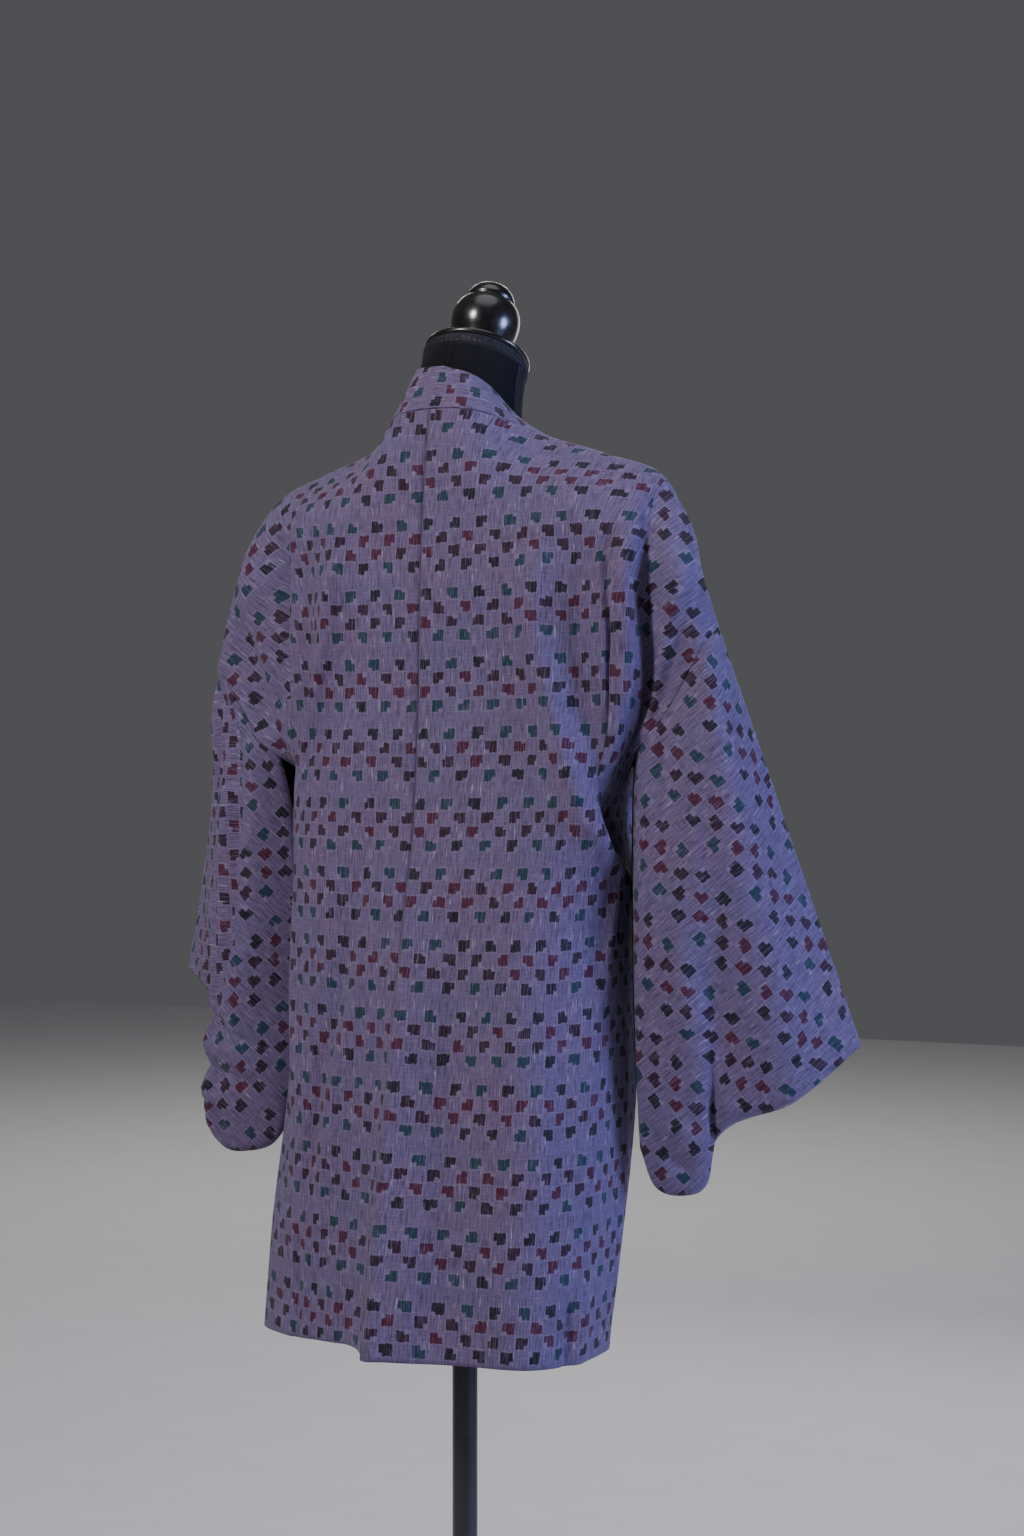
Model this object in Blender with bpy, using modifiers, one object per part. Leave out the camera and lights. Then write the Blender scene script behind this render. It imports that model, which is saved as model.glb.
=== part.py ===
"""A haori jacket hanging on a black limbless dress form with a turned finial and a pole stand.

Frame: +Z up, the wearer faces -Y, the wearer's left is +X. The origin is the centre of the base's
underside. Sizes are in millimetres and are turned into metres by MM when a mesh is made.
Each cloth panel is an open surface read from a short table of sections, given its wall by Solidify.
"""
import math

import bpy
import numpy as np

MM = 0.001
CLOTH_WALL = 1.6
COLLAR_WALL = 3.0
LINING_WALL = 1.0
SEAM_GAP = 0.35
BACK_ARM_GAP = 2.2
FRONT_ARM_GAP = 3.8
COLLAR_SEAM_GAP = 1.6
GUSSET_START = 0.3
SIDES = {"right": -1.0, "left": 1.0}

# ---- the haori: lines that run down the cloth, from the centre back seam to the sleeve or side seam
LINES = ("centre", "pleat", "neck", "blade", "ridge", "valley", "edge")
ACROSS = np.array([0.0, 36.0, 80.0, 140.0, 185.0, 235.0, 306.0])
TOP_HEIGHT = np.array([1369.0, 1366.0, 1347.0, 1328.5, 1309.0, 1252.0, 1187.0])
ARM_HEIGHT = np.array([1115.0, 1114.0, 1112.0, 1108.0, 1100.0, 1094.0, 1089.0])
NECK_LINE = LINES.index("neck")

# sections over the shoulder; fall is 0 on the shoulder line and 1 at the underarm, and each line has
# its x (outwards) and y (backwards)
SHOULDER = (0.00, (0, 57), (36, 50), (80, 4), (135, 0), (182, 0), (208, 1), (232, 3))
BACK_UPPER = {
    "right": (
        (0.10, (0, 62), (36, 60), (79, 40), (134, 38), (183, 28), (213, 26), (232, 20)),
        (0.40, (0, 70), (36, 70), (80, 68), (136, 65), (170, 59), (197, 36), (218, 28)),
        (0.72, (0, 74), (36, 74), (81, 74), (135, 69), (167, 60), (184, 32), (197, 27)),
        (1.00, (0, 76), (36, 76), (82, 76), (134, 70), (165, 58), (167, 32), (172, 24)),
    ),
    "left": (
        (0.10, (0, 62), (36, 60), (79, 40), (132, 36), (178, 26), (211, 24), (232, 20)),
        (0.40, (0, 70), (36, 69), (80, 66), (120, 60), (148, 48), (184, 30), (218, 28)),
        (0.72, (0, 74), (36, 73), (80, 71), (114, 65), (138, 52), (168, 26), (197, 27)),
        (1.00, (0, 76), (36, 75), (80, 73), (114, 66), (137, 50), (158, 26), (172, 24)),
    ),
}
FRONT_UPPER = (
    (0.10, (78, -38), (132, -38), (180, -27), (206, -20), (217, -6)),
    (0.40, (76, -92), (122, -86), (158, -64), (180, -38), (198, -7)),
    (0.72, (74, -124), (114, -114), (144, -84), (162, -42), (178, -5)),
    (1.00, (72, -140), (108, -126), (134, -88), (148, -42), (156, -4)),
)
# level sections below the underarm: height, then x and y of each line
BACK_LOWER = {
    "right": (
        (1063, (0, 80), (36, 80), (82, 80), (133, 74), (161, 58), (147, 22), (140, -4)),
        (967, (0, 96), (36, 95), (80, 92), (125, 78), (148, 48), (151, 8), (143, -24)),
        (795, (0, 127), (36, 121), (79, 113), (131, 100), (151, 68), (153, 26), (148, -18)),
        (700, (0, 145), (36, 138), (79, 127), (132, 113), (151, 80), (152, 34), (143, -6)),
        (611, (0, 158), (36, 150), (79, 137), (131, 124), (149, 88), (147, 34), (134, 2)),
    ),
    "left": (
        (1063, (0, 80), (36, 79), (81, 76), (118, 68), (138, 48), (143, 18), (140, -6)),
        (967, (0, 96), (34, 90), (78, 86), (120, 68), (143, 38), (148, 0), (142, -28)),
        (795, (0, 127), (33, 106), (72, 97), (112, 86), (145, 50), (152, 8), (147, -26)),
        (700, (0, 145), (34, 112), (71, 104), (110, 97), (146, 68), (157, 15), (149, -22)),
        (611, (0, 158), (37, 117), (72, 110), (108, 105), (147, 79), (159, 25), (150, -20)),
    ),
}
FRONT_LOWER = {
    "right": (
        (1063, (68, -146), (92, -125), (112, -95), (128, -62), (134, -36)),
        (967, (60, -150), (82, -130), (99, -105), (112, -80), (122, -62)),
        (795, (48, -160), (71, -137), (90, -110), (105, -84), (116, -62)),
        (700, (43, -160), (66, -135), (84, -107), (97, -81), (107, -59)),
        (611, (38, -160), (60, -132), (76, -103), (88, -76), (98, -52)),
    ),
    "left": (
        (1063, (68, -146), (94, -127), (116, -97), (130, -64), (134, -38)),
        (967, (64, -152), (90, -135), (111, -110), (123, -84), (128, -64)),
        (795, (62, -162), (90, -143), (112, -117), (124, -92), (129, -72)),
        (700, (64, -166), (91, -147), (112, -122), (123, -97), (129, -76)),
        (611, (66, -170), (92, -150), (110, -125), (122, -100), (128, -80)),
    ),
}
# soft upright folds that take up the width of each front, deepest at the hem
FRONT_FOLDS = 3
FOLD_DEPTH = {1063: 0.0, 967: 9.0, 795: 17.0, 700: 21.0, 611: 24.0}

FALLS = (0.0, 0.03, 0.10, 0.20, 0.30, 0.40, 0.51, 0.62, 0.74, 0.87, 1.0)
LEVELS = (1063, 1015, 967, 910, 852, 795, 747, 700, 655, 611)
BACK_STEPS = (0, 18, 36, 58)
FRONT_STEPS = np.linspace(80.0, 306.0, 19)

# ---- sleeves: each hangs in an upright plane turned forward, read as (reach, height) in that plane
SLEEVE_TURN = math.radians(30.0)
SLEEVE_ROWS = 12
# swelling of each layer half way down, for the shares of the half sleeve from inner edge to fold
SWELL = {
    "right": ((0.0, 5), (0.25, 17), (0.50, 19), (0.75, 17), (1.0, 0)),
    "left": ((0.0, 2), (0.20, 13), (0.42, 4), (0.62, 2), (0.80, 9), (1.0, 0)),
}
# how far the whole sleeve stands back half way down, for the same shares
SWAY = {
    "right": ((0.0, 0), (0.5, 2), (1.0, 0)),
    "left": ((0.0, -12), (0.20, 13), (0.42, -4), (0.70, -3), (1.0, 0)),
}
# the lower rim from the inner edge round the bag to the cuff and the shoulder fold:
# share of the half sleeve, reach, height, depth, half of the opening
RIM = {
    "right": ((0.00, 145, 772, 98, 0), (0.12, 152, 743, 100, 0), (0.25, 173, 736, 102, 0),
              (0.37, 192, 745, 102, 0), (0.47, 199, 779, 102, 0), (0.72, 258, 812, 104, 22),
              (1.00, 314, 855, 104, 0)),
    "left": ((0.00, 147, 790, 92, 0), (0.12, 155, 757, 99, 0), (0.25, 175, 746, 116, 0),
             (0.37, 190, 750, 134, 0), (0.47, 197, 774, 144, 0), (0.58, 201, 812, 107, 9),
             (0.72, 213, 856, 100, 13), (0.86, 252, 886, 109, 15), (1.00, 311, 900, 110, 0)),
}
RIM_SEWN = 0.47
FRONT_RIM_DROP = {"right": -6.0, "left": 14.0}
CUFF_LINING_GAP = 0.6
CUFF_LINING_SHARES = (0.1, 0.97)
CUFF_LINING_FROM = 0.62

# ---- collar: the free edge's way from the seam, as inwards, backwards and up, at each named place
# (share of the way from the front hem to the centre back, then the three distances)
COLLAR_RUN = {
    "right": ((0.00, 26, -46, 0), (0.22, 30, -44, 0), (0.45, 38, -38, 0), (0.62, 48, -22, -2),
              (0.76, 46, -20, 12), (0.87, 31, -3, 12), (0.94, 13, -17, 28), (1.00, 0, -21, 38)),
    "left": ((0.00, 46, -30, 0), (0.22, 45, -31, 0), (0.45, 42, -34, 0), (0.62, 48, -22, -2),
             (0.76, 44, -18, 20), (0.87, 27, -3, 43), (0.94, 13, -17, 41), (1.00, 0, -21, 38)),
}
COLLAR_STEPS = 3

# ---- the dress form: height, half width, front depth, back depth, squareness of the ring
FORM_RINGS = (
    (690, 110, 66, 70, 2.2), (700, 116, 70, 74, 2.2), (790, 126, 80, 78, 2.2), (860, 124, 78, 72, 2.2),
    (930, 112, 76, 60, 2.2), (985, 106, 78, 54, 2.2), (1040, 114, 94, 56, 2.2), (1095, 130, 114, 60, 2.2),
    (1150, 134, 106, 62, 2.2), (1200, 140, 80, 58, 2.1), (1240, 150, 58, 50, 2.1), (1270, 160, 40, 40, 2.0),
    (1292, 169, 26, 28, 1.9), (1307.6, 180, 12, 14, 1.8), (1327.0, 134, 20, 24, 1.7),
    (1343.8, 79, 18, 26, 1.8), (1348.0, 46, 44, 30, 2.0), (1357.0, 41.5, 50, 30, 2.0),
)
FORM_SIDES = 32
# the neck: rings that lean forward little by little from the foot
NECK_FOOT = (-7.0, 1370.0)
NECK_RADIUS = 41.0
NECK_RISE = 60.0
NECK_LEAN = math.radians(20.0)
NECK_RING_SHARES = (0.0, 0.35, 0.7, 1.0)
TRIM_HEIGHT = 9.0
TRIM_RADIUS = 43.5
CAP_RADIUS = 42.0
CAP_HEIGHT = 7.0
# outline of the turned finial: radius and height above the cap
FINIAL_OUTLINE = ((0, 42), (8, 41), (15, 37.5), (19.5, 32.5), (21, 29), (20, 26.5), (23.5, 24.5),
                  (27.5, 19), (29.5, 12), (28.5, 5), (26, 0), (0, 0))
POLE_RADIUS = 10.5
BASE_RADIUS = 185.0
BASE_HEIGHT = 8.0

CLOTH_COLOUR = (0.085, 0.068, 0.125, 1.0)
LINING_COLOUR = (0.006, 0.030, 0.040, 1.0)
FORM_COLOUR = (0.006, 0.006, 0.009, 1.0)
GLOSS_COLOUR = (0.010, 0.008, 0.007, 1.0)


def spline(knots, values, places):
    """A smooth curve through the values at the knots, read at the places given."""
    knots = np.asarray(knots, float)
    values = np.asarray(values, float)
    places = np.asarray(places, float)
    slopes = np.gradient(values, knots, axis=0)
    first = np.clip(np.searchsorted(knots, places, side="right") - 1, 0, len(knots) - 2)
    width = knots[first + 1] - knots[first]
    part = (places - knots[first]) / width
    shape = (-1,) + (1,) * (values.ndim - 1)
    part, width = part.reshape(shape), width.reshape(shape)
    start, end = values[first], values[first + 1]
    bend = 3 * part ** 2 - 2 * part ** 3
    rise = part * (1 - part)
    return start + (end - start) * bend + width * rise * ((1 - part) * slopes[first] - part * slopes[first + 1])


def upper_points(row, lines):
    """One section over the shoulder, as x, y, z for each of the lines."""
    fall = row[0]
    heights = TOP_HEIGHT[lines] + fall * (ARM_HEIGHT[lines] - TOP_HEIGHT[lines])
    return np.column_stack([np.array(row[1:], float), heights])


def level_points(row):
    """One level section, as x, y, z for each of its lines."""
    points = np.array(row[1:], float)
    return np.column_stack([points, np.full(len(points), float(row[0]))])


def front_folds(points, heights):
    """Push the level rows of a front in by soft folds that lie between the collar and the side."""
    shares = np.linspace(0.0, 1.0, points.shape[1])
    depth = spline(sorted(FOLD_DEPTH), [FOLD_DEPTH[key] for key in sorted(FOLD_DEPTH)], heights)
    along = np.gradient(points[..., :2], axis=1)
    along /= np.linalg.norm(along, axis=2, keepdims=True)
    inward = np.stack([along[..., 1], -along[..., 0]], axis=2)
    inward *= np.sign(-np.sum(inward * points[..., :2], axis=2, keepdims=True))
    wave = 0.5 - 0.5 * np.cos(2 * math.pi * FRONT_FOLDS * shares)
    points[..., :2] += inward * (depth[:, None] * wave)[..., None]
    return points


def body_rows(side):
    """The whole body panel as two grids that share the shoulder row: back and front, top to hem."""
    every = np.arange(len(LINES))
    outer = every[NECK_LINE:]
    back = [upper_points(SHOULDER, every)]
    back += [upper_points(row, every) for row in BACK_UPPER[side]]
    back += [level_points(row) for row in BACK_LOWER[side]]
    front = [upper_points(SHOULDER[:1] + SHOULDER[1 + NECK_LINE:], outer)]
    front += [upper_points(row, outer) for row in FRONT_UPPER]
    front += [level_points(row) for row in FRONT_LOWER[side]]
    knots = [0.0] + [row[0] for row in BACK_UPPER[side]]
    knots += [1.0 + (BACK_LOWER[side][0][0] + 26 - row[0]) / 250.0 for row in BACK_LOWER[side]]
    places = list(FALLS) + [1.0 + (BACK_LOWER[side][0][0] + 26 - level) / 250.0 for level in LEVELS]

    joined_knots = [-knot for knot in knots[:0:-1]] + knots
    joined = front[:0:-1] + [points[NECK_LINE:] for points in back]
    inner = spline(knots, [points[:NECK_LINE] for points in back], places)
    outer_back = spline(joined_knots, joined, places)
    outer_front = spline(joined_knots, joined, [-place for place in places])
    across_back = np.concatenate([BACK_STEPS, FRONT_STEPS])
    back_lines = np.concatenate([inner, outer_back], axis=1)
    back_grid = spline(ACROSS, back_lines.transpose(1, 0, 2), across_back).transpose(1, 0, 2)
    front_grid = spline(ACROSS[NECK_LINE:], outer_front.transpose(1, 0, 2), FRONT_STEPS).transpose(1, 0, 2)
    front_grid[0] = back_grid[0, len(BACK_STEPS):]
    lower = slice(len(FALLS), None)
    front_grid[lower] = front_folds(front_grid[lower], np.array(LEVELS, float))
    return back_grid, front_grid


def placed(points, side):
    """Table points, whose x runs outwards, on the named side of the wearer."""
    return points * np.array([SIDES[side], 1.0, 1.0])


def finish(made, colour, roughness):
    """Give a piece its own plain material."""
    material = bpy.data.materials.new(made.name)
    material.use_nodes = True
    shader = material.node_tree.nodes["Principled BSDF"]
    shader.inputs["Base Color"].default_value = colour
    shader.inputs["Roughness"].default_value = roughness
    made.data.materials.append(material)


def mesh_object(name, points, faces, colour, roughness):
    """A mesh object in metres from points in millimetres, in the haori's collection."""
    mesh = bpy.data.meshes.new(name)
    mesh.from_pydata((np.asarray(points) * MM).tolist(), [], faces)
    mesh.update()
    made = bpy.data.objects.new(name, mesh)
    PARTS.objects.link(made)
    mesh.shade_smooth()
    finish(made, colour, roughness)
    return made


def cloth_wall(made, wall, offset=1.0, even=True):
    """Give an open surface its thickness; even is off where the bag is sewn to a sharp edge."""
    solid = made.modifiers.new("wall", "SOLIDIFY")
    solid.thickness = wall * MM
    solid.offset = offset
    solid.use_even_offset = even
    solid.use_quality_normals = True
    return made


def grid_faces(indices, flip):
    """Quads over a table of vertex numbers; flip turns them to face the other way."""
    corners = np.stack([indices[:-1, :-1], indices[:-1, 1:], indices[1:, 1:], indices[1:, :-1]], axis=-1)
    quads = corners.reshape(-1, 4)
    return (quads[:, ::-1] if flip else quads).tolist()


def make_body(side):
    """Back and front of one side, cut in one piece over the shoulder."""
    back, front = body_rows(side)
    back[:, 0, 0] = SEAM_GAP / 2
    rows, columns = back.shape[:2]
    skip = len(BACK_STEPS)
    back_numbers = np.arange(rows * columns).reshape(rows, columns)
    front_numbers = np.empty((rows, columns - skip), int)
    front_numbers[0] = back_numbers[0, skip:]
    front_numbers[1:] = rows * columns + np.arange((rows - 1) * (columns - skip)).reshape(rows - 1, -1)
    points = np.concatenate([back.reshape(-1, 3), front[1:].reshape(-1, 3)])
    right = side == "right"
    faces = grid_faces(back_numbers, right) + grid_faces(front_numbers, not right)
    made = mesh_object("body_" + side, placed(points, side), faces, CLOTH_COLOUR, 0.85)
    return cloth_wall(made, CLOTH_WALL)


def make_gusset(side):
    """The narrow side panel between back and front, from the underarm to the hem."""
    back, front = body_rows(side)
    start = FALLS.index(1.0)
    back_edge, front_edge = back[start:, -1], front[start:, -1]
    way = front_edge - back_edge
    way /= np.linalg.norm(way, axis=1, keepdims=True)
    shares = np.linspace(0.0, 1.0, 4)
    hollow = np.sin(math.pi * shares)
    lean = np.stack([way[:, 1], -way[:, 0], way[:, 2] * 0], axis=1)
    gap = 3 * SEAM_GAP
    ends = np.stack([back_edge + way * gap, front_edge - way * gap], axis=1)
    points = ends[:, :1] + (ends[:, 1:] - ends[:, :1]) * shares[None, :, None]
    depth = np.linspace(1.0, 7.0, len(points))
    points += lean[:, None] * (depth[:, None] * hollow)[..., None]
    points[0] += GUSSET_START * (points[1] - points[0])
    numbers = np.arange(points.shape[0] * points.shape[1]).reshape(points.shape[:2])
    faces = grid_faces(numbers, side == "right")
    made = mesh_object("gusset_" + side, placed(points.reshape(-1, 3), side), faces, CLOTH_COLOUR, 0.85)
    return cloth_wall(made, CLOTH_WALL)


def to_sleeve(points):
    """x, y, z as reach, depth, height in the sleeve's own plane."""
    turn, lift = math.sin(SLEEVE_TURN), math.cos(SLEEVE_TURN)
    return np.stack([points[..., 0] * lift - points[..., 1] * turn,
                     points[..., 0] * turn + points[..., 1] * lift, points[..., 2]], axis=-1)


def from_sleeve(points):
    """Reach, depth, height in the sleeve's plane as x, y, z."""
    turn, lift = math.sin(SLEEVE_TURN), math.cos(SLEEVE_TURN)
    return np.stack([points[..., 0] * lift + points[..., 1] * turn,
                     -points[..., 0] * turn + points[..., 1] * lift, points[..., 2]], axis=-1)


def sleeve_rows(side, row_shares):
    """Sections down the sleeve: each goes from the back's inner edge, over the fold, to the front's."""
    back, front = body_rows(side)
    half = FALLS.index(1.0)
    seam = to_sleeve(np.concatenate([back[half::-1, -1], front[1:half + 1, -1]]))
    steps = np.arange(2 * half + 1)
    shares = 1.0 - np.abs(steps - half) / half
    facing = np.sign(half - steps)
    rim = np.array(RIM[side], float)
    rim_line = spline(rim[:, 0], rim[:, 1:4], shares)
    opening = np.interp(shares, rim[:, 0], rim[:, 4]) ** 0.5 * rim[:, 4].max() ** 0.5
    fan = np.clip((shares - RIM_SEWN) / (1.0 - RIM_SEWN), 0.0, 1.0)
    rim_line[:, 1] -= np.where(facing < 0, FRONT_RIM_DROP[side] * np.sin(math.pi * fan), 0.0)
    swell, sway = np.array(SWELL[side], float), np.array(SWAY[side], float)
    swell_line = np.maximum(spline(swell[:, 0], swell[:, 1], shares), 0.0)
    sway_line = spline(sway[:, 0], sway[:, 1], shares)
    middle_seam = 0.5 * (seam[:, 1] + seam[::-1, 1])

    t = np.asarray(row_shares, float)[:, None]
    swing = np.sin(math.pi * t ** 0.8)
    flat = seam[None, :, [0, 2]] * (1 - t)[..., None] + rim_line[None, :, :2] * t[..., None]
    middle = middle_seam * (1 - t) + rim_line[:, 2] * t + sway_line * swing
    half_gap = np.abs(seam[:, 1] - middle_seam) * np.sqrt(1 - t ** 3) * (1 - 0.3 * t)
    half_gap = half_gap + opening * t ** 2 + swell_line * swing ** 0.9
    return np.stack([flat[..., 0], middle + facing * half_gap, flat[..., 1]], axis=-1)


def make_sleeve(side):
    """One sleeve with its open cuff, open inner edge and sewn bag."""
    rows = sleeve_rows(side, np.linspace(0.0, 1.0, SLEEVE_ROWS + 1))
    down = rows[1] - rows[0]
    count = rows.shape[1]
    steps = np.arange(count)
    half = count // 2
    gap = np.where(steps > half, FRONT_ARM_GAP, BACK_ARM_GAP)[:, None]
    rows[0] += down / np.linalg.norm(down, axis=1, keepdims=True) * gap
    shares = 1.0 - np.abs(steps - half) / half
    numbers = np.arange(rows.shape[0] * count).reshape(rows.shape[0], count)
    sewn = steps[(shares <= RIM_SEWN) & (steps > half)]
    numbers[-1, sewn] = numbers[-1, count - 1 - sewn]
    used, numbers = np.unique(numbers, return_inverse=True)
    numbers = numbers.reshape(rows.shape[:2])
    points = placed(from_sleeve(rows).reshape(-1, 3)[used], side)
    made = mesh_object("sleeve_" + side, points, grid_faces(numbers, side == "right"), CLOTH_COLOUR, 0.85)
    return cloth_wall(made, CLOTH_WALL, even=False)


def surface_normals(grid):
    """Unit normals of a grid of points."""
    down = np.gradient(grid, axis=0)
    across = np.gradient(grid, axis=1)
    normal = np.cross(across, down)
    return normal / np.linalg.norm(normal, axis=2, keepdims=True)


def make_cuff_lining(side):
    """A band of lining just inside the cuff, made from the sleeve's own points, moved in."""
    rows = sleeve_rows(side, np.linspace(0.0, 1.0, SLEEVE_ROWS + 1))
    inner = (rows - surface_normals(rows) * CUFF_LINING_GAP)[-2:]
    down = np.array(CUFF_LINING_SHARES)[:, None, None]
    half = rows.shape[1] // 2
    shares = 1.0 - np.abs(np.arange(rows.shape[1]) - half) / half
    points = (inner[0] + (inner[1] - inner[0]) * down)[:, shares > CUFF_LINING_FROM]
    numbers = np.arange(points.shape[0] * points.shape[1]).reshape(points.shape[:2])
    faces = grid_faces(numbers, side == "right")
    flat = placed(from_sleeve(points).reshape(-1, 3), side)
    made = mesh_object("cuff_lining_" + side, flat, faces, LINING_COLOUR, 0.4)
    return cloth_wall(made, LINING_WALL, -1.0)


def neck_edge(side):
    """The seam of the collar on one side, from the front hem over the shoulder to the centre back."""
    back, front = body_rows(side)
    start = len(BACK_STEPS)
    return np.concatenate([front[::-1, 0], back[0, start - 1::-1]])


def make_collar():
    """One band from the right front hem round the neck to the left front hem."""
    halves = {}
    for side in SIDES:
        seam = neck_edge(side)
        steps = np.linalg.norm(np.diff(seam, axis=0), axis=1)
        run = np.concatenate([[0.0], np.cumsum(steps)])
        run /= run[-1]
        table = np.array(COLLAR_RUN[side], float)
        way = spline(table[:, 0], table[:, 1:], run) * np.array([-1.0, 1.0, 1.0])
        unit = way / np.linalg.norm(way, axis=1, keepdims=True)
        foot = seam + unit * COLLAR_SEAM_GAP
        shares = np.linspace(0.0, 1.0, COLLAR_STEPS + 1)
        grid = foot[:, None] + (way - unit * COLLAR_SEAM_GAP)[:, None] * shares[None, :, None]
        halves[side] = grid * np.array([SIDES[side], 1.0, 1.0])
    band = np.concatenate([halves["right"], halves["left"][-2::-1]])
    numbers = np.arange(band.shape[0] * band.shape[1]).reshape(band.shape[:2])
    made = mesh_object("collar", band.reshape(-1, 3), grid_faces(numbers, False), CLOTH_COLOUR, 0.85)
    return cloth_wall(made, COLLAR_WALL, 0.0)


def ring(height, half_width, front, back, squareness):
    """One level ring of the form, an oval whose front and back depths differ."""
    angle = np.linspace(0.0, 2 * math.pi, FORM_SIDES, endpoint=False)
    power = 2.0 / squareness
    x = half_width * np.sign(np.cos(angle)) * np.abs(np.cos(angle)) ** power
    depth = np.where(np.sin(angle) > 0, back, front)
    y = depth * np.sign(np.sin(angle)) * np.abs(np.sin(angle)) ** power
    return np.stack([x, y, np.full(FORM_SIDES, height)], axis=1)


def neck_place(share):
    """Centre and tilt of the neck at a share of its rise."""
    tilt = NECK_LEAN * share
    step = NECK_RISE * share
    back, foot = NECK_FOOT
    return np.array([0.0, back - step * math.sin(tilt / 2), foot + step * math.cos(tilt / 2)]), tilt


def neck_ring(share):
    """One round ring of the neck, tilted forward."""
    centre, tilt = neck_place(share)
    angle = np.linspace(0.0, 2 * math.pi, FORM_SIDES, endpoint=False)
    across, along = NECK_RADIUS * np.cos(angle), NECK_RADIUS * np.sin(angle)
    return centre + np.stack([across, along * math.cos(tilt), along * math.sin(tilt)], axis=1)


def make_form():
    """The limbless torso and neck, a loft through its rings, closed at both ends."""
    rings = [ring(*row) for row in FORM_RINGS] + [neck_ring(share) for share in NECK_RING_SHARES]
    numbers = np.arange(len(rings) * FORM_SIDES).reshape(len(rings), FORM_SIDES)
    wrapped = np.concatenate([numbers, numbers[:, :1]], axis=1)
    faces = grid_faces(wrapped, False)
    faces += [numbers[0, ::-1].tolist(), numbers[-1].tolist()]
    return mesh_object("dress_form", np.concatenate(rings), faces, FORM_COLOUR, 0.9)


def turned(name, outline, colour, roughness, foot=0.0, steps=28):
    """A turned piece: an outline of (radius, height) pairs, top to bottom, spun about its own axis."""
    mesh = bpy.data.meshes.new(name)
    points = [(radius * MM, 0.0, (foot + height) * MM) for radius, height in outline]
    mesh.from_pydata(points, [(i, i + 1) for i in range(len(points) - 1)], [])
    made = bpy.data.objects.new(name, mesh)
    PARTS.objects.link(made)
    screw = made.modifiers.new("turn", "SCREW")
    screw.steps = steps
    screw.render_steps = steps
    screw.use_merge_vertices = True
    screw.merge_threshold = 0.00005
    screw.use_smooth_shade = True
    finish(made, colour, roughness)
    return made


def disc(radius, height):
    """The outline of a plain turned disc."""
    return ((0, height), (radius - 1.0, height), (radius, height - 1.0), (radius, 1.0), (radius - 1.0, 0), (0, 0))


def make_head():
    """Braid trim, cap and turned finial on the neck's tilted top."""
    top, tilt = neck_place(1.0)
    pieces = (("neck_trim", disc(TRIM_RADIUS, TRIM_HEIGHT), FORM_COLOUR, 0.6, 0.3),
              ("neck_cap", disc(CAP_RADIUS, CAP_HEIGHT), GLOSS_COLOUR, 0.2, TRIM_HEIGHT + 0.6),
              ("finial", FINIAL_OUTLINE, GLOSS_COLOUR, 0.15, TRIM_HEIGHT + CAP_HEIGHT + 0.9))
    for name, outline, colour, roughness, foot in pieces:
        made = turned(name, outline, colour, roughness, foot)
        made.location = (top * MM).tolist()
        made.rotation_euler = (tilt, 0.0, 0.0)


def make_stand():
    """Pole and round base."""
    pole_foot = BASE_HEIGHT + 0.3
    pole = disc(POLE_RADIUS, FORM_RINGS[0][0] - 0.3 - pole_foot)
    turned("pole", pole, GLOSS_COLOUR, 0.2, pole_foot)
    turned("base", disc(BASE_RADIUS, BASE_HEIGHT), GLOSS_COLOUR, 0.3, 0.0, 48)


def main():
    global PARTS
    for old in list(bpy.data.objects):
        bpy.data.objects.remove(old, do_unlink=True)
    PARTS = bpy.data.collections.new("haori jacket on dress form")
    bpy.context.scene.collection.children.link(PARTS)
    for side in SIDES:
        make_body(side)
        make_gusset(side)
        make_sleeve(side)
        make_cuff_lining(side)
    make_collar()
    make_form()
    make_head()
    make_stand()


main()
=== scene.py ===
"""A haori jacket on a black limbless dress form: the looks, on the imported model's own frame.

Every new piece is a surface worked out from short tables of sections, in millimetres, turned into
metres by MM. The frame is +Z up; the wearer faces -Y and the wearer's left is +X.
"""
import math
from functools import partial

import bpy
import numpy as np
from bpy.props import FloatProperty, FloatVectorProperty, PointerProperty
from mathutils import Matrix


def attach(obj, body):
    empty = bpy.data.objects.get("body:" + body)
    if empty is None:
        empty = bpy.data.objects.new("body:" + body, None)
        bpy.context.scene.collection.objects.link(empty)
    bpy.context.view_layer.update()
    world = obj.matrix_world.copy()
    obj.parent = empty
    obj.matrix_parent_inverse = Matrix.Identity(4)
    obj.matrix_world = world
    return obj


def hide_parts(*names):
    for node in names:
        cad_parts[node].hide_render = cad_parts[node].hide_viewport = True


bl_info = {
    "name": "Haori on a dress form",
    "version": (1, 0, 0),
    "blender": (4, 5, 0),
    "location": "3D View > Sidebar > Haori",
    "description": "Builds a haori jacket in small-check ikat on a limbless dress form with a turned finial",
    "category": "Object",
}

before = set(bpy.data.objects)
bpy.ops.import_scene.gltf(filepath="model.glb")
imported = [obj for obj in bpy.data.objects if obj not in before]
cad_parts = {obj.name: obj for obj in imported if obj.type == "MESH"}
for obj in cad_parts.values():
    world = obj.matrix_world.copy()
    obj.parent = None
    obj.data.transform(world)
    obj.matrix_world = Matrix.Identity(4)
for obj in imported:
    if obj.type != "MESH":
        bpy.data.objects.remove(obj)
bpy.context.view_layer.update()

MM = 0.001
SIDES = {"right": -1.0, "left": 1.0}

# ---- the haori: lines that run down the cloth, from the centre back seam to the sleeve or side seam
LINES = ("centre", "pleat", "neck", "blade", "ridge", "valley", "edge")
ACROSS = np.array([0.0, 36.0, 80.0, 140.0, 185.0, 235.0, 306.0])
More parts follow.
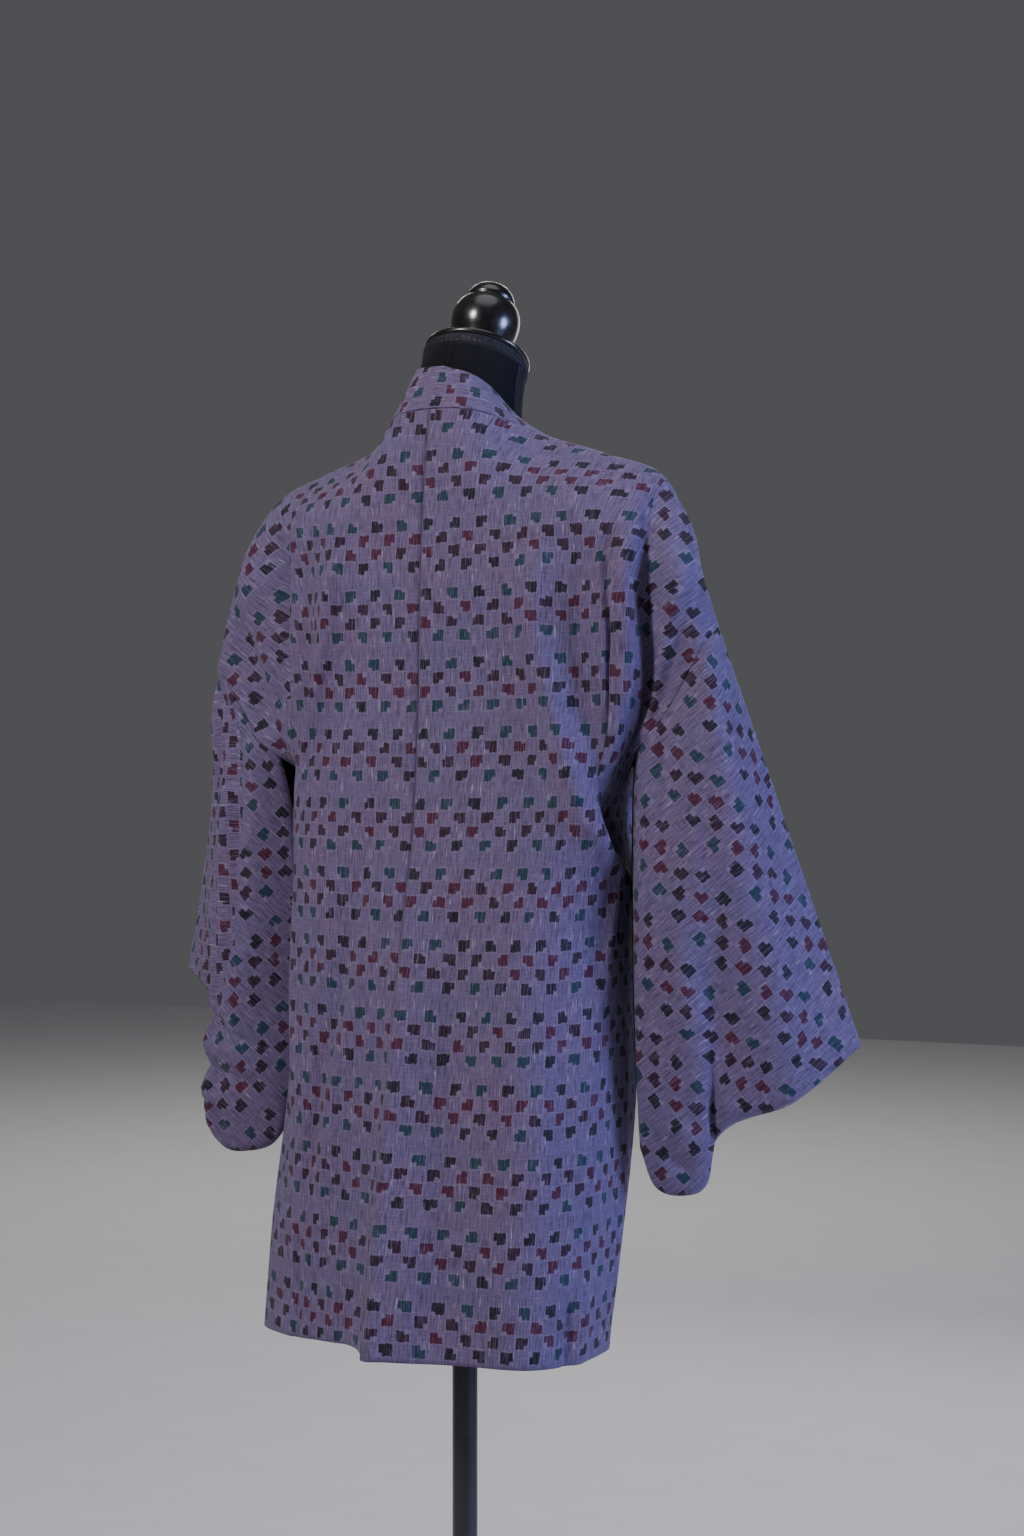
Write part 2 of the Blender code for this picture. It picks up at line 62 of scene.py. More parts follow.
# heights of each line on the shoulder and at the arm's level
TOP_HEIGHT = np.array([1369.0, 1366.0, 1347.0, 1328.5, 1309.0, 1252.0, 1187.0])
ARM_HEIGHT = np.array([1115.0, 1114.0, 1112.0, 1108.0, 1100.0, 1094.0, 1089.0])
NECK_LINE = LINES.index("neck")
# sections: the share of the fall from the shoulder to the arm's level, or the height of a level one,
# then x, y at each line; those of the front start at the neck line
SHOULDER = (0.00, (0, 57), (36, 50), (80, 4), (135, 0), (182, 0), (208, 1), (232, 3))
BACK_UPPER = {
    "right": (
        (0.10, (0, 62), (36, 60), (79, 40), (134, 38), (183, 28), (213, 26), (232, 20)),
        (0.40, (0, 70), (36, 70), (80, 68), (136, 65), (170, 59), (197, 36), (218, 28)),
        (0.72, (0, 74), (36, 74), (81, 74), (135, 69), (167, 60), (184, 32), (197, 27)),
        (1.00, (0, 76), (36, 76), (82, 76), (134, 70), (165, 58), (167, 32), (172, 24)),
    ),
    "left": (
        (0.10, (0, 62), (36, 60), (79, 40), (132, 36), (178, 26), (211, 24), (232, 20)),
        (0.40, (0, 70), (36, 69), (80, 66), (120, 60), (148, 48), (184, 30), (218, 28)),
        (0.72, (0, 74), (36, 73), (80, 71), (114, 65), (138, 52), (168, 26), (197, 27)),
        (1.00, (0, 76), (36, 75), (80, 73), (114, 66), (137, 50), (158, 26), (172, 24)),
    ),
}
FRONT_UPPER = (
    (0.10, (78, -38), (132, -38), (180, -27), (206, -20), (217, -6)),
    (0.40, (76, -92), (122, -86), (158, -64), (180, -38), (198, -7)),
    (0.72, (74, -124), (114, -114), (144, -84), (162, -42), (178, -5)),
    (1.00, (72, -140), (108, -126), (134, -88), (148, -42), (156, -4)),
)
BACK_LOWER = {
    "right": (
        (1063, (0, 80), (36, 80), (82, 80), (133, 74), (161, 58), (147, 22), (140, -4)),
        (967, (0, 96), (36, 95), (80, 92), (125, 78), (148, 48), (151, 8), (143, -24)),
        (795, (0, 127), (36, 121), (79, 113), (131, 100), (151, 68), (153, 26), (148, -18)),
        (700, (0, 145), (36, 138), (79, 127), (132, 113), (151, 80), (152, 34), (143, -6)),
        (611, (0, 158), (36, 150), (79, 137), (131, 124), (149, 88), (147, 34), (134, 2)),
    ),
    "left": (
        (1063, (0, 80), (36, 79), (81, 76), (118, 68), (138, 48), (143, 18), (140, -6)),
        (967, (0, 96), (34, 90), (78, 86), (120, 68), (143, 38), (148, 0), (142, -28)),
        (795, (0, 127), (33, 106), (72, 97), (112, 86), (145, 50), (152, 8), (147, -26)),
        (700, (0, 145), (34, 112), (71, 104), (110, 97), (146, 68), (157, 15), (149, -22)),
        (611, (0, 158), (37, 117), (72, 110), (108, 105), (147, 79), (159, 25), (150, -20)),
    ),
}
FRONT_LOWER = {
    "right": (
        (1063, (68, -146), (92, -125), (112, -95), (128, -62), (134, -36)),
        (967, (60, -150), (82, -130), (99, -105), (112, -80), (122, -62)),
        (795, (48, -160), (71, -137), (90, -110), (105, -84), (116, -62)),
        (700, (43, -160), (66, -135), (84, -107), (97, -81), (107, -59)),
        (611, (38, -160), (60, -132), (76, -103), (88, -76), (98, -52)),
    ),
    "left": (
        (1063, (68, -146), (94, -127), (116, -97), (130, -64), (134, -38)),
        (967, (64, -152), (90, -135), (111, -110), (123, -84), (128, -64)),
        (795, (62, -162), (90, -143), (112, -117), (124, -92), (129, -72)),
        (700, (64, -166), (91, -147), (112, -122), (123, -97), (129, -76)),
        (611, (66, -170), (92, -150), (110, -125), (122, -100), (128, -80)),
    ),
}
# the folds of a front: how many, and how deep at each height
FRONT_FOLDS = 3
FOLD_DEPTH = ((611, 24.0), (700, 21.0), (795, 17.0), (967, 9.0), (1063, 0.0))
# shares of the fall for even steps of rows down from the shoulder
FALLS = (0.0, 0.03, 0.10, 0.20, 0.30, 0.40, 0.51, 0.62, 0.74, 0.87, 1.0)
# below the arm's level a row's place goes on by 1 for each LEVEL_SCALE
LEVEL_ORIGIN, LEVEL_SCALE, HEM_HEIGHT = 1089.0, 250.0, 611.0
# the level line that the warp's coordinate is measured from
WARP_ORIGIN = 1000.0
# steps of a body's grids: across to the neck line and on to the side, down to the arm's level and on
NECK_STEPS, SIDE_STEPS, UPPER_STEPS, LOWER_STEPS = 20, 64, 64, 116
SIDE_PLACES = np.linspace(ACROSS[NECK_LINE], ACROSS[-1], SIDE_STEPS + 1)
BACK_PLACES = np.concatenate([np.linspace(0.0, ACROSS[NECK_LINE], NECK_STEPS + 1)[:-1], SIDE_PLACES])

# ---- sleeves: each hangs in an upright plane turned forward, read as (reach, height) in that plane
SLEEVE_TURN = math.radians(30.0)
SLEEVE_STEPS = 104
# swelling of each layer half way down, for shares of the half sleeve from inner edge to fold
SWELL = {
    "right": ((0.0, 5), (0.25, 17), (0.50, 19), (0.75, 17), (1.0, 0)),
    "left": ((0.0, 2), (0.20, 13), (0.42, 4), (0.62, 2), (0.80, 9), (1.0, 0)),
}
# how far the whole sleeve stands back half way down, for the same shares
SWAY = {
    "right": ((0.0, 0), (0.5, 2), (1.0, 0)),
    "left": ((0.0, -12), (0.20, 13), (0.42, -4), (0.70, -3), (1.0, 0)),
}
# the rim: share of the half sleeve, reach, height, depth, half of the opening
RIM = {
    "right": ((0.00, 141, 772, 98, 0), (0.12, 152, 743, 100, 0), (0.25, 173, 736, 102, 0),
              (0.37, 192, 745, 102, 0), (0.47, 199, 779, 102, 0), (0.72, 258, 812, 104, 22),
              (1.00, 314, 855, 104, 0)),
    "left": ((0.00, 147, 790, 92, 0), (0.12, 155, 757, 99, 0), (0.25, 175, 746, 116, 0),
             (0.37, 190, 750, 134, 0), (0.47, 197, 774, 144, 0), (0.58, 201, 812, 107, 9),
             (0.72, 213, 856, 100, 13), (0.86, 252, 886, 109, 15), (1.00, 311, 900, 110, 0)),
}
# the rim is sewn shut up to this share, and how far the front's open rim hangs back from the back's
RIM_SEWN = 0.47
FRONT_RIM_DROP = {"right": -6.0, "left": 14.0}
# how far the inner edge hangs in towards the body half way down, in reach and in depth
INNER_LEAN = {"right": (4.5, 0.0), "left": (10.0, 8.0)}
# how far a side stands out under the arm, the heights where that starts, holds and ends, and the
# place across where it starts
UNDER_ARM = {"right": 12.0, "left": 0.0}
UNDER_ARM_HEIGHTS = (1089.0, 1048.0, 1040.0, 925.0)
UNDER_ARM_FROM = 190.0
# how strongly a sleeve leaves the seam in line with the body's cloth, the shares of the half sleeve
# over which that sets in, and the power by which it is lost on the way down
TAKE_OFF = 0.85
TAKE_OFF_SHARES = (0.02, 0.3)
TAKE_OFF_POWER = 11
# powers that shape the swing of the whole, the swelling of each layer and the lean of the inner edge
SWING_POWER = 0.8
SWELL_POWER = 0.9
LEAN_POWER = 0.7
# how much of the armhole's width is lost on the way down, and where the cuff starts to open
SEAM_NARROWING = 0.3
CUFF_START = 0.75
# the way the threads lie on each sleeve, as the slope of the warp above the level, in degrees
WARP_SLOPE = {"right": 39.0, "left": 45.0}
# at each height, the reach past which the left sleeve's outer strip lies square
STRIP_FROM = {"right": ((800, 900), (1200, 900)),
              "left": ((845, 400), (852, 260), (868, 205), (880, 175), (925, 158), (985, 153),
                       (1050, 153), (1118, 164), (1180, 200))}
# at each height, the place across past which the shoulder's cloth already hangs with the sleeve
HANG_FROM = {"right": ((1092, 240), (1128, 232), (1207, 218), (1287, 190)),
             "left": ((1065, 235), (1135, 214), (1218, 186), (1286, 161))}

# ---- collar: the free edge's way from the seam, as inwards, backwards and up, at each named place
COLLAR_RUN = {
    "right": ((0.00, 26, -46, 0), (0.22, 30, -44, 0), (0.45, 38, -38, 0), (0.62, 48, -22, -2),
              (0.76, 46, -20, 12), (0.87, 31, -3, 12), (0.94, 13, -17, 28), (1.00, 0, -21, 38)),
    "left": ((0.00, 46, -30, 0), (0.22, 45, -31, 0), (0.45, 42, -34, 0), (0.62, 48, -22, -2),
             (0.76, 44, -18, 20), (0.87, 27, -3, 43), (0.94, 13, -17, 41), (1.00, 0, -21, 38)),
}
COLLAR_STEPS = 14
# waves of the collar's roll along its length: height, length over 2 pi, start
COLLAR_WAVES = ((0.5, 31.0, 0.0), (0.35, 13.0, 1.0))

# ---- gaps that keep the sewn pieces apart
SEAM_GAP = 0.35
BACK_ARM_GAP = 0.6
FRONT_ARM_GAP = 1.0
COLLAR_SEAM_GAP = 0.7
# the side panels: their top, their columns, how deep they are hollowed at the top and at the hem, and
# where their cloth's coordinates start
GUSSET_START_HEIGHT = 1081.0
GUSSET_COLUMNS = 25
GUSSET_HOLLOW = (1.3, 7.0)
GUSSET_CLOTH_START = (3.0, 7.0)
# the cuff linings: the shares of the sleeve's length and of its half width where they start, how far
# they lie inside the sleeve, and their wall in metres
LINING_FROM = 0.925
LINING_SHARE = 0.62
LINING_INSET = 0.6
LINING_WALL = 0.0008
# the round of the collar's folded edges, in metres
FOLD_ROUND = 0.0011
# the edges that turn in at the centre back seam: how far, twice that on the ridge, and how wide
SEAM_ROLL = 1.5
SEAM_ROLL_WIDTH = 5.0
# the ridge on the centre back seam: how far it stands out, its two widths, and the heights it fades over
RIDGE_RISE = 5.5
RIDGE_WIDTH = {"right": 15.0, "left": 5.0}
RIDGE_HEIGHTS = (820.0, 1020.0)

# ---- creases: each is a line of (place across or reach, height) points, its width and its depth out
# how strongly the creases of each grid move it outwards
BACK_CREASE_OUT = 1.4
FRONT_CREASE_OUT = -1.3
SLEEVE_CREASE_OUT = 1.25
# the part of a half sine that a crease leaves out at each end, and the share of a panel's width over
# which creases fade in from a sewn edge
CREASE_END = 0.04
SEWN_EDGE = 0.05
# the same for a sleeve: shares of its half width from inner edge to fold, and of its length
SLEEVE_EDGES = (0.05, 0.06)
SLEEVE_ENDS = (0.08, 0.07)
BODY_CREASES = {
    ("right", "back"): (
        (((190, 1290), (197, 1262), (221, 1196), (240, 1135), (252, 1092)), 8, -10.0),
        (((171, 1258), (184, 1185), (182, 1120), (190, 1082)), 5, -5.0),
        (((183, 1268), (199, 1190), (203, 1125)), 8, 4.5),
        (((214, 1290), (246, 1200), (264, 1120)), 13, 5.0),
        (((109, 1262), (104, 1186), (121, 1134), (140, 1080), (161, 1037), (207, 998), (246, 986)), 11, 7.0),
        (((88, 1215), (84, 1150), (98, 1090), (118, 1040)), 15, -2.4),
        (((148, 1236), (146, 1180), (156, 1122), (176, 1076), (206, 1042), (240, 1024)), 19, -8.0),
        (((52, 960), (50, 820), (58, 700), (56, 611)), 17, -4.6),
        (((112, 960), (104, 850), (110, 740), (106, 611)), 24, 2.8),
        (((150, 905), (160, 800), (152, 700)), 16, -2.5),
        (((172, 611), (175, 628), (171, 656)), 6, -3.6),
        (((188, 611), (190, 640), (186, 690)), 9, 3.0),
        (((222, 1010), (206, 960), (196, 890)), 8, 4.0),
        (((238, 1040), (226, 985), (214, 930)), 7, -4.5),
        (((30, 611), (26, 650), (30, 720)), 10, 1.8),
        (((250, 850), (262, 760), (258, 650)), 14, 3.0),
    ),
    ("left", "back"): (
        (((160, 1290), (178, 1251), (200, 1192), (202, 1125), (208, 1085)), 8, -10.5),
        (((190, 1290), (224, 1215), (240, 1130)), 12, 5.5),
        (((92, 1286), (88, 1230), (98, 1180), (128, 1112), (150, 1060)), 13, 5.5),
        (((132, 1252), (148, 1190), (164, 1128), (176, 1070)), 18, -6.5),
        (((60, 1240), (66, 1160), (84, 1090)), 16, -2.2),
        (((48, 1020), (66, 903), (98, 812), (112, 730)), 13, -5.0),
        (((28, 1010), (46, 903), (76, 812), (90, 700)), 10, 3.0),
        (((18, 860), (20, 740), (22, 611)), 12, -3.0),
        (((140, 1010), (150, 900), (140, 800)), 14, 3.5),
        (((172, 960), (176, 860), (168, 720)), 12, -3.0),
        (((120, 611), (124, 650), (120, 700)), 10, -3.0),
        (((60, 611), (58, 640), (62, 690)), 9, 2.4),
        (((215, 900), (228, 800), (222, 680)), 16, 3.0),
    ),
    ("right", "front"): (
        (((120, 1240), (112, 1150), (128, 1060)), 14, 3.0),
        (((200, 1160), (190, 1080), (205, 980)), 12, -3.0),
        (((150, 900), (158, 780), (150, 640)), 12, 2.2),
        (((250, 860), (245, 760), (255, 660)), 12, -2.4),
        (((104, 700), (108, 650), (103, 611)), 8, -2.2),
    ),
    ("left", "front"): (
        (((130, 1230), (118, 1140), (134, 1050)), 15, 3.2),
        (((205, 1150), (194, 1070), (208, 960)), 12, -2.8),
        (((170, 880), (163, 760), (172, 650)), 13, 2.0),
        (((262, 840), (256, 740), (264, 640)), 12, -2.2),
        (((112, 690), (108, 640), (113, 611)), 7, 2.4),
    ),
}
SLEEVE_CREASES = {
    ("right", "back"): (
        (((194, 815), (196, 790), (196, 752)), 5, -4.0),
        (((204, 812), (207, 792), (206, 764)), 6, 2.6),
        (((151, 790), (164, 768), (180, 750)), 5, -3.6),
        (((162, 800), (176, 780), (190, 770)), 6, 2.2),
        (((187, 1193), (194, 1187), (200, 1183)), 3, -1.5),
        (((152, 1040), (165, 920), (184, 815)), 16, 2.4),
        (((212, 1140), (228, 1000), (236, 850)), 24, -2.2),
        (((248, 1060), (272, 950), (286, 870)), 15, 2.0),
        (((170, 990), (186, 900), (212, 835)), 9, -1.6),
    ),
    ("right", "front"): (
        (((160, 1020), (172, 900), (186, 800)), 15, 3.0),
        (((210, 1120), (222, 980), (240, 850)), 18, -3.2),
        (((150, 800), (166, 774), (184, 752)), 6, -3.4),
        (((255, 1020), (270, 930), (280, 860)), 12, 2.2),
    ),
    ("left", "back"): (
        (((199, 1176), (166, 1118), (156, 1050), (156, 985), (158, 925), (176, 884)), 8, -6.5),
        (((210, 1150), (190, 1100), (182, 1040), (184, 980), (192, 915)), 11, 3.5),
        (((212, 872), (190, 862), (158, 840)), 6, -5.0),
        (((206, 850), (186, 836), (156, 822)), 6, 3.4),
        (((208, 834), (190, 816), (160, 804)), 5, -5.0),
        (((204, 806), (188, 790), (168, 782)), 6, 3.0),
        (((199, 792), (186, 772), (172, 756)), 5, -3.4),
        (((165, 1080), (172, 980), (180, 890)), 13, 2.2),
    ),
    ("left", "front"): (
        (((160, 1030), (170, 910), (182, 810)), 14, 3.0),
        (((206, 862), (186, 842), (158, 828)), 6, -4.2),
        (((204, 822), (186, 804), (162, 794)), 5, -3.6),
        (((240, 1040), (256, 960), (268, 905)), 13, -2.6),
    ),
}

# ---- the dress form: height, half width, front depth, back depth, squareness of the ring
FORM_RINGS = (
    (690, 110, 66, 70, 2.2), (700, 116, 70, 74, 2.2), (790, 126, 80, 78, 2.2), (860, 124, 78, 72, 2.2),
    (930, 112, 76, 60, 2.2), (985, 106, 78, 54, 2.2), (1040, 114, 94, 56, 2.2), (1095, 130, 114, 60, 2.2),
    (1150, 134, 106, 62, 2.2), (1200, 140, 80, 58, 2.1), (1240, 150, 58, 50, 2.1), (1270, 160, 40, 40, 2.0),
    (1292, 169, 26, 28, 1.9), (1307.6, 180, 12, 14, 1.8), (1327.0, 134, 20, 24, 1.7),
    (1343.8, 79, 18, 26, 1.8), (1348.0, 47, 45, 31, 2.0), (1357.0, 43.0, 51, 32, 2.0),
)
FORM_SIDES = 128
# rows of the form are about this far apart; their sizes are a running mean of this many rows, which
# fades in and out over these heights
FORM_ROW = 4.0
FORM_MEAN = 9
FORM_ROUND_IN = (712.0, 740.0)
FORM_ROUND_OUT = (1200.0, 1240.0)
NECK_ROWS = 22
NECK_FOOT = (-7.0, 1370.0)
NECK_RADIUS = 44.5
NECK_RISE = 42.0
NECK_LEAN = math.radians(24.0)
# the braid round the neck: its height, its face's radius, its back's, the share of its section that
# rounds each edge, the plaits round it, how they slant, how deep they go between them, and its steps
# round and across
TRIM_HEIGHT = 8.0
TRIM_RADIUS = 45.3
TRIM_BACK = 43.4
TRIM_EDGE = 0.12
TRIM_PLAITS = 60
TRIM_SLANT = 0.9
TRIM_DEPTH = 0.65
TRIM_STEPS = (720, 37)
# the braid up each side of the neck: half its width and half the round that crowns it, as angles, its
# crown, its lift off the neck, how much its plaits turn on the way up and outwards, the share of the
# neck's rise where it ends, and its steps across and up
SIDE_TRIM_WIDTH = 0.075
SIDE_TRIM_ROUND = 0.078
SIDE_TRIM_CROWN = 0.7
SIDE_TRIM_LIFT = 0.15
SIDE_TRIM_TURNS = (150.0, 40.0)
SIDE_TRIM_END = 0.995
SIDE_TRIM_STEPS = (13, 120)
CAP_HEIGHT = 8.0
# outlines of the turned pieces: radius and height, from the top of the axis down to the foot
FINIAL_OUTLINE = ((0, 66), (5, 65.7), (10, 64.4), (14.5, 61.8), (18, 58.2), (20.2, 54.2), (21, 51),
                  (20.8, 49.6), (20, 48.8), (20.4, 48), (23, 46.3), (25.8, 43), (27.8, 38.8), (28.9, 34),
                  (29.1, 29), (28.6, 24), (27.4, 19), (25.4, 14), (23.4, 10.4), (22.4, 8), (22.7, 6.4),
                  (24.5, 4.6), (26, 2.6), (26.4, 0), (0, 0))
CAP_OUTLINE = ((0, 8), (28, 8), (35, 7.8), (40, 7.2), (43, 6.2), (44.6, 4.9), (45, 3.6), (44.7, 2.2),
               (43.6, 0.9), (41.8, 0.2), (40, 0), (0, 0))
POLE_RADIUS = 10.5
BASE_RADIUS = 185.0
BASE_HEIGHT = 8.0
# radius of the rounded rims of the base and of the pole, and the gap below a piece that rests on another
BASE_EDGE = 2.5
POLE_EDGE = 0.8
SEAT_GAP = 0.3
# sides of the turned pieces on the neck, of the base and of the pole
TURNED_SIDES, BASE_SIDES, POLE_SIDES = 96, 160, 64

# ---- the camera: its distance from the pole and its height in metres, its turn from straight behind,
# and the image's size, focal length and shift in pixels
CAMERA_AWAY = 2.2
CAMERA_HEIGHT = 1.05
CAMERA_TURN = math.radians(30.0)
IMAGE_HEIGHT = 1536.0
FOCAL_LENGTH = 2635.0
IMAGE_SHIFT = (47.0, 32.0)
SENSOR_WIDTH = 36.0
FLOOR_REACH = 9000.0
SKY_COLOUR = (0.86, 0.86, 0.92, 1.0)
# the lights: name, place, target, size, the setting that gives the power, colour
LIGHTS = (
    ("key_light", (0.55, 2.25, 2.6), (-0.05, 0.05, 1.0), 0.4, "key", (1.0, 0.95, 0.97)),
    ("side_light", (-2.6, -0.3, 1.5), (-0.1, 0.05, 1.0), 0.9, "side", (0.44, 0.53, 1.0)),
    ("top_light", (-0.3, 0.3, 3.2), (0.0, 0.0, 1.0), 1.8, "top", (0.95, 0.95, 1.0)),
    ("front_light", (0.5, -2.8, 1.8), (0.0, 0.0, 1.0), 1.8, "top", (1.0, 0.97, 0.95)),
    ("floor_light", (2.4, -4.2, 3.4), (2.4, -4.2, 0.0), 3.0, "floor_power", (1.0, 1.0, 1.0)),
)

# ---- the weave, in metres: one thread, one pick, and the pitches of its ribs each way
THREAD_WIDTH = 0.0009
PICK_WIDTH = 0.0016
WEAVE_PITCHES = (0.0011, 0.0014)
# the pitch of the silk's weave and of the jersey's ribs; the places of the form's seams across at a
# height of 1 m, and the share of its place by which a seam spreads in each metre of height
SILK_PITCH = 0.0007
JERSEY_PITCH = 0.0016
FORM_SEAMS = (0.0, 0.062, -0.062)
SEAM_SPREAD = 0.25

# ---------------------------------------------------------------------------------- settings
Colour = partial(FloatVectorProperty, subtype="COLOR", min=0, max=1)
Length = partial(FloatProperty, unit="LENGTH")
Power = partial(FloatProperty, min=0, unit="POWER")


class ClothSettings(bpy.types.PropertyGroup):
    """The jacket's cloth, collar and lining"""

    wall: Length(name="Cloth thickness", description="Thickness of the woven cloth",
                 default=0.0012, min=0.0006, max=0.0016)
    collar_wall: Length(name="Collar thickness", description="Thickness of the folded collar band",
                        default=0.003, min=0.002, max=0.003)
    check_width: Length(name="Check width", description="Width of one woven check, along the weft",
                        default=0.0123, min=0.004, max=0.05)
    check_length: Length(name="Check length", description="Length of one woven check, along the warp",
                         default=0.01136, min=0.004, max=0.05)
    ground: Colour(name="Ground", description="Colour of the ground of the cloth",
                   default=(0.122, 0.096, 0.196))
    slub: Colour(name="Slub", description="Colour of the pale slubs in the thread",
                 default=(0.310, 0.265, 0.400))
    teal: Colour(name="Teal", description="Colour of the teal checks", default=(0.003, 0.026, 0.040))
    navy: Colour(name="Navy", description="Colour of the near black checks", default=(0.002, 0.002, 0.006))
    red: Colour(name="Red", description="Colour of the bright red checks", default=(0.048, 0.002, 0.017))
    maroon: Colour(name="Maroon", description="Colour of the dark red checks", default=(0.016, 0.002, 0.010))
    lining: Colour(name="Lining", description="Colour of the lining inside the jacket",
                   default=(0.010, 0.052, 0.066))


class StandSettings(bpy.types.PropertyGroup):
    """The dress form, its braids, its turned head and its stand"""

    jersey: Colour(name="Form cover", description="Colour of the cloth that covers the form",
                   default=(0.0035, 0.0035, 0.0055))
    braid: Colour(name="Braid", description="Colour of the braid round the neck",
                  default=(0.0075, 0.0065, 0.011))
    lacquer: Colour(name="Lacquer", description="Colour of the lacquered cap and finial",
                    default=(0.004, 0.003, 0.0035))
    metal: Colour(name="Stand", description="Colour of the painted pole and base",
                  default=(0.004, 0.004, 0.005))
    braid_relief: Length(name="Braid relief", description="Height of the plaits in the braid",
                         default=0.0007, min=0.0, max=0.001)


class StageSettings(bpy.types.PropertyGroup):
    """The floor and the lights"""

    floor: Colour(name="Floor", description="Colour of the plain floor", default=(0.80, 0.79, 0.78))
    key: Power(name="Key light", description="Strength of the light behind the back", default=66.0)
    side: Power(name="Side light", description="Strength of the blue light on the wearer's right", default=78.0)
    top: Power(name="Top light", description="Strength of each soft light above and in front", default=14.0)
    floor_power: Power(name="Floor light", description="Strength of the light on the floor beyond the stand",
                       default=60.0)
    sky: FloatProperty(name="Surround", description="Strength of the even light all round", default=0.10, min=0)


# ---------------------------------------------------------------------------------- the shapes
def spline(knots, values, places):
    """A smooth curve through the values at the knots: between two knots it is the cubic whose ends
    have those values and the mean slopes there."""
    knots = np.asarray(knots, float)
    values = np.asarray(values, float)
    places = np.asarray(places, float)
    slopes = np.gradient(values, knots, axis=0)
    first = np.clip(np.searchsorted(knots, places, side="right") - 1, 0, len(knots) - 2)
    width = knots[first + 1] - knots[first]
    part = (places - knots[first]) / width
    shape = (-1,) + (1,) * (values.ndim - 1)
    part, width = part.reshape(shape), width.reshape(shape)
    start, end = values[first], values[first + 1]
    bend = 3 * part ** 2 - 2 * part ** 3
    rise = part * (1 - part)
    return start + (end - start) * bend + width * rise * ((1 - part) * slopes[first] - part * slopes[first + 1])


def table_curve(table, places):
    """The smooth curve through a table's further columns, at places along its first."""
    table = np.array(table, float)
    return spline(table[:, 0], table[:, 1:], places)


def line_at(table, heights):
    """Where a line of (height, place) points lies at each height, straight from point to point."""
    return np.interp(heights, *np.array(table, float).T)


def smooth_step(low, high, values):
    """0 below low, 1 above high, and 3t^2 - 2t^3 between them."""
    t = np.clip((values - low) / (high - low), 0.0, 1.0)
    return 3 * t ** 2 - 2 * t ** 3


def held(shares, first, last):
    """0 at both ends of the shares and 1 between: a smooth step up over the first part, down over the last."""
    return smooth_step(0.0, first, shares) * smooth_step(0.0, last, 1 - shares)


def unit(ways):
    """Ways of length 1: each divided by the root of the sum of its squares."""
    return ways / np.linalg.norm(ways, axis=-1, keepdims=True)


def turns(count):
    """Even angles once round a circle, the last one step short of the first."""
    return np.linspace(0.0, 2 * math.pi, count, endpoint=False)


def surface_normals(grid):
    """Unit normals of a grid of points: across the columns crossed with down the rows."""
    normal = np.cross(np.gradient(grid, axis=1), np.gradient(grid, axis=0))
    return normal / np.maximum(np.linalg.norm(normal, axis=2, keepdims=True), 1e-9)


def run_down(grid):
    """Length along each column of a grid, from its first row."""
    steps = np.linalg.norm(np.diff(grid, axis=0), axis=2)
    return np.concatenate([np.zeros((1, grid.shape[1])), np.cumsum(steps, axis=0)])


def crease_field(where, creases):
    """How far the cloth stands out: for each crease, depth times exp(-(distance / width)^2) from its
    line, faded at both ends by the root of a half sine."""
    total = np.zeros(where.shape[:2])
    for line, width, depth in creases:
        line = np.asarray(line, float)
        lengths = np.linalg.norm(np.diff(line, axis=0), axis=1)
        runs = np.concatenate([[0.0], np.cumsum(lengths)])
        nearest = np.full(where.shape[:2], np.inf)
        place = np.zeros(where.shape[:2])
        for start, end, length, run in zip(line[:-1], line[1:], lengths, runs):
            way = end - start
            share = np.clip(((where - start) @ way) / length ** 2, 0.0, 1.0)
            gap = np.linalg.norm(where - start - share[..., None] * way, axis=2)
            closer = gap < nearest
            nearest = np.where(closer, gap, nearest)
            place = np.where(closer, (run + share * length) / runs[-1], place)
        fade = np.sqrt(np.sin(math.pi * (CREASE_END + (1 - 2 * CREASE_END) * place)))
        total += depth * fade * np.exp(-(nearest / width) ** 2)
    return total


def upper_points(row, lines):
    """One section over the shoulder, as x, y, z for each of the lines: z falls with the section's share."""
    heights = TOP_HEIGHT[lines] + row[0] * (ARM_HEIGHT[lines] - TOP_HEIGHT[lines])
    return np.column_stack([np.array(row[1:], float), heights])


def level_points(row):
    """One level section, as x, y, z for each of its lines."""
    return np.array([(x, y, row[0]) for x, y in row[1:]], float)


def front_folds(points, heights):
    """Push the lower rows of a front in by soft folds: depth times half of (1 - cosine) across it."""
    top = FOLD_DEPTH[-1][0]
    depth = np.where(heights < top, table_curve(FOLD_DEPTH, np.minimum(heights, top))[:, 0], 0.0)
    along = unit(np.gradient(points[..., :2], axis=1))
    inward = np.stack([along[..., 1], -along[..., 0]], axis=2)
    inward *= np.sign(-np.sum(inward * points[..., :2], axis=2, keepdims=True))
    wave = 0.5 - 0.5 * np.cos(2 * math.pi * FRONT_FOLDS * np.linspace(0.0, 1.0, points.shape[1]))
    points[..., :2] += inward * (depth[:, None] * wave)[..., None]
    return points


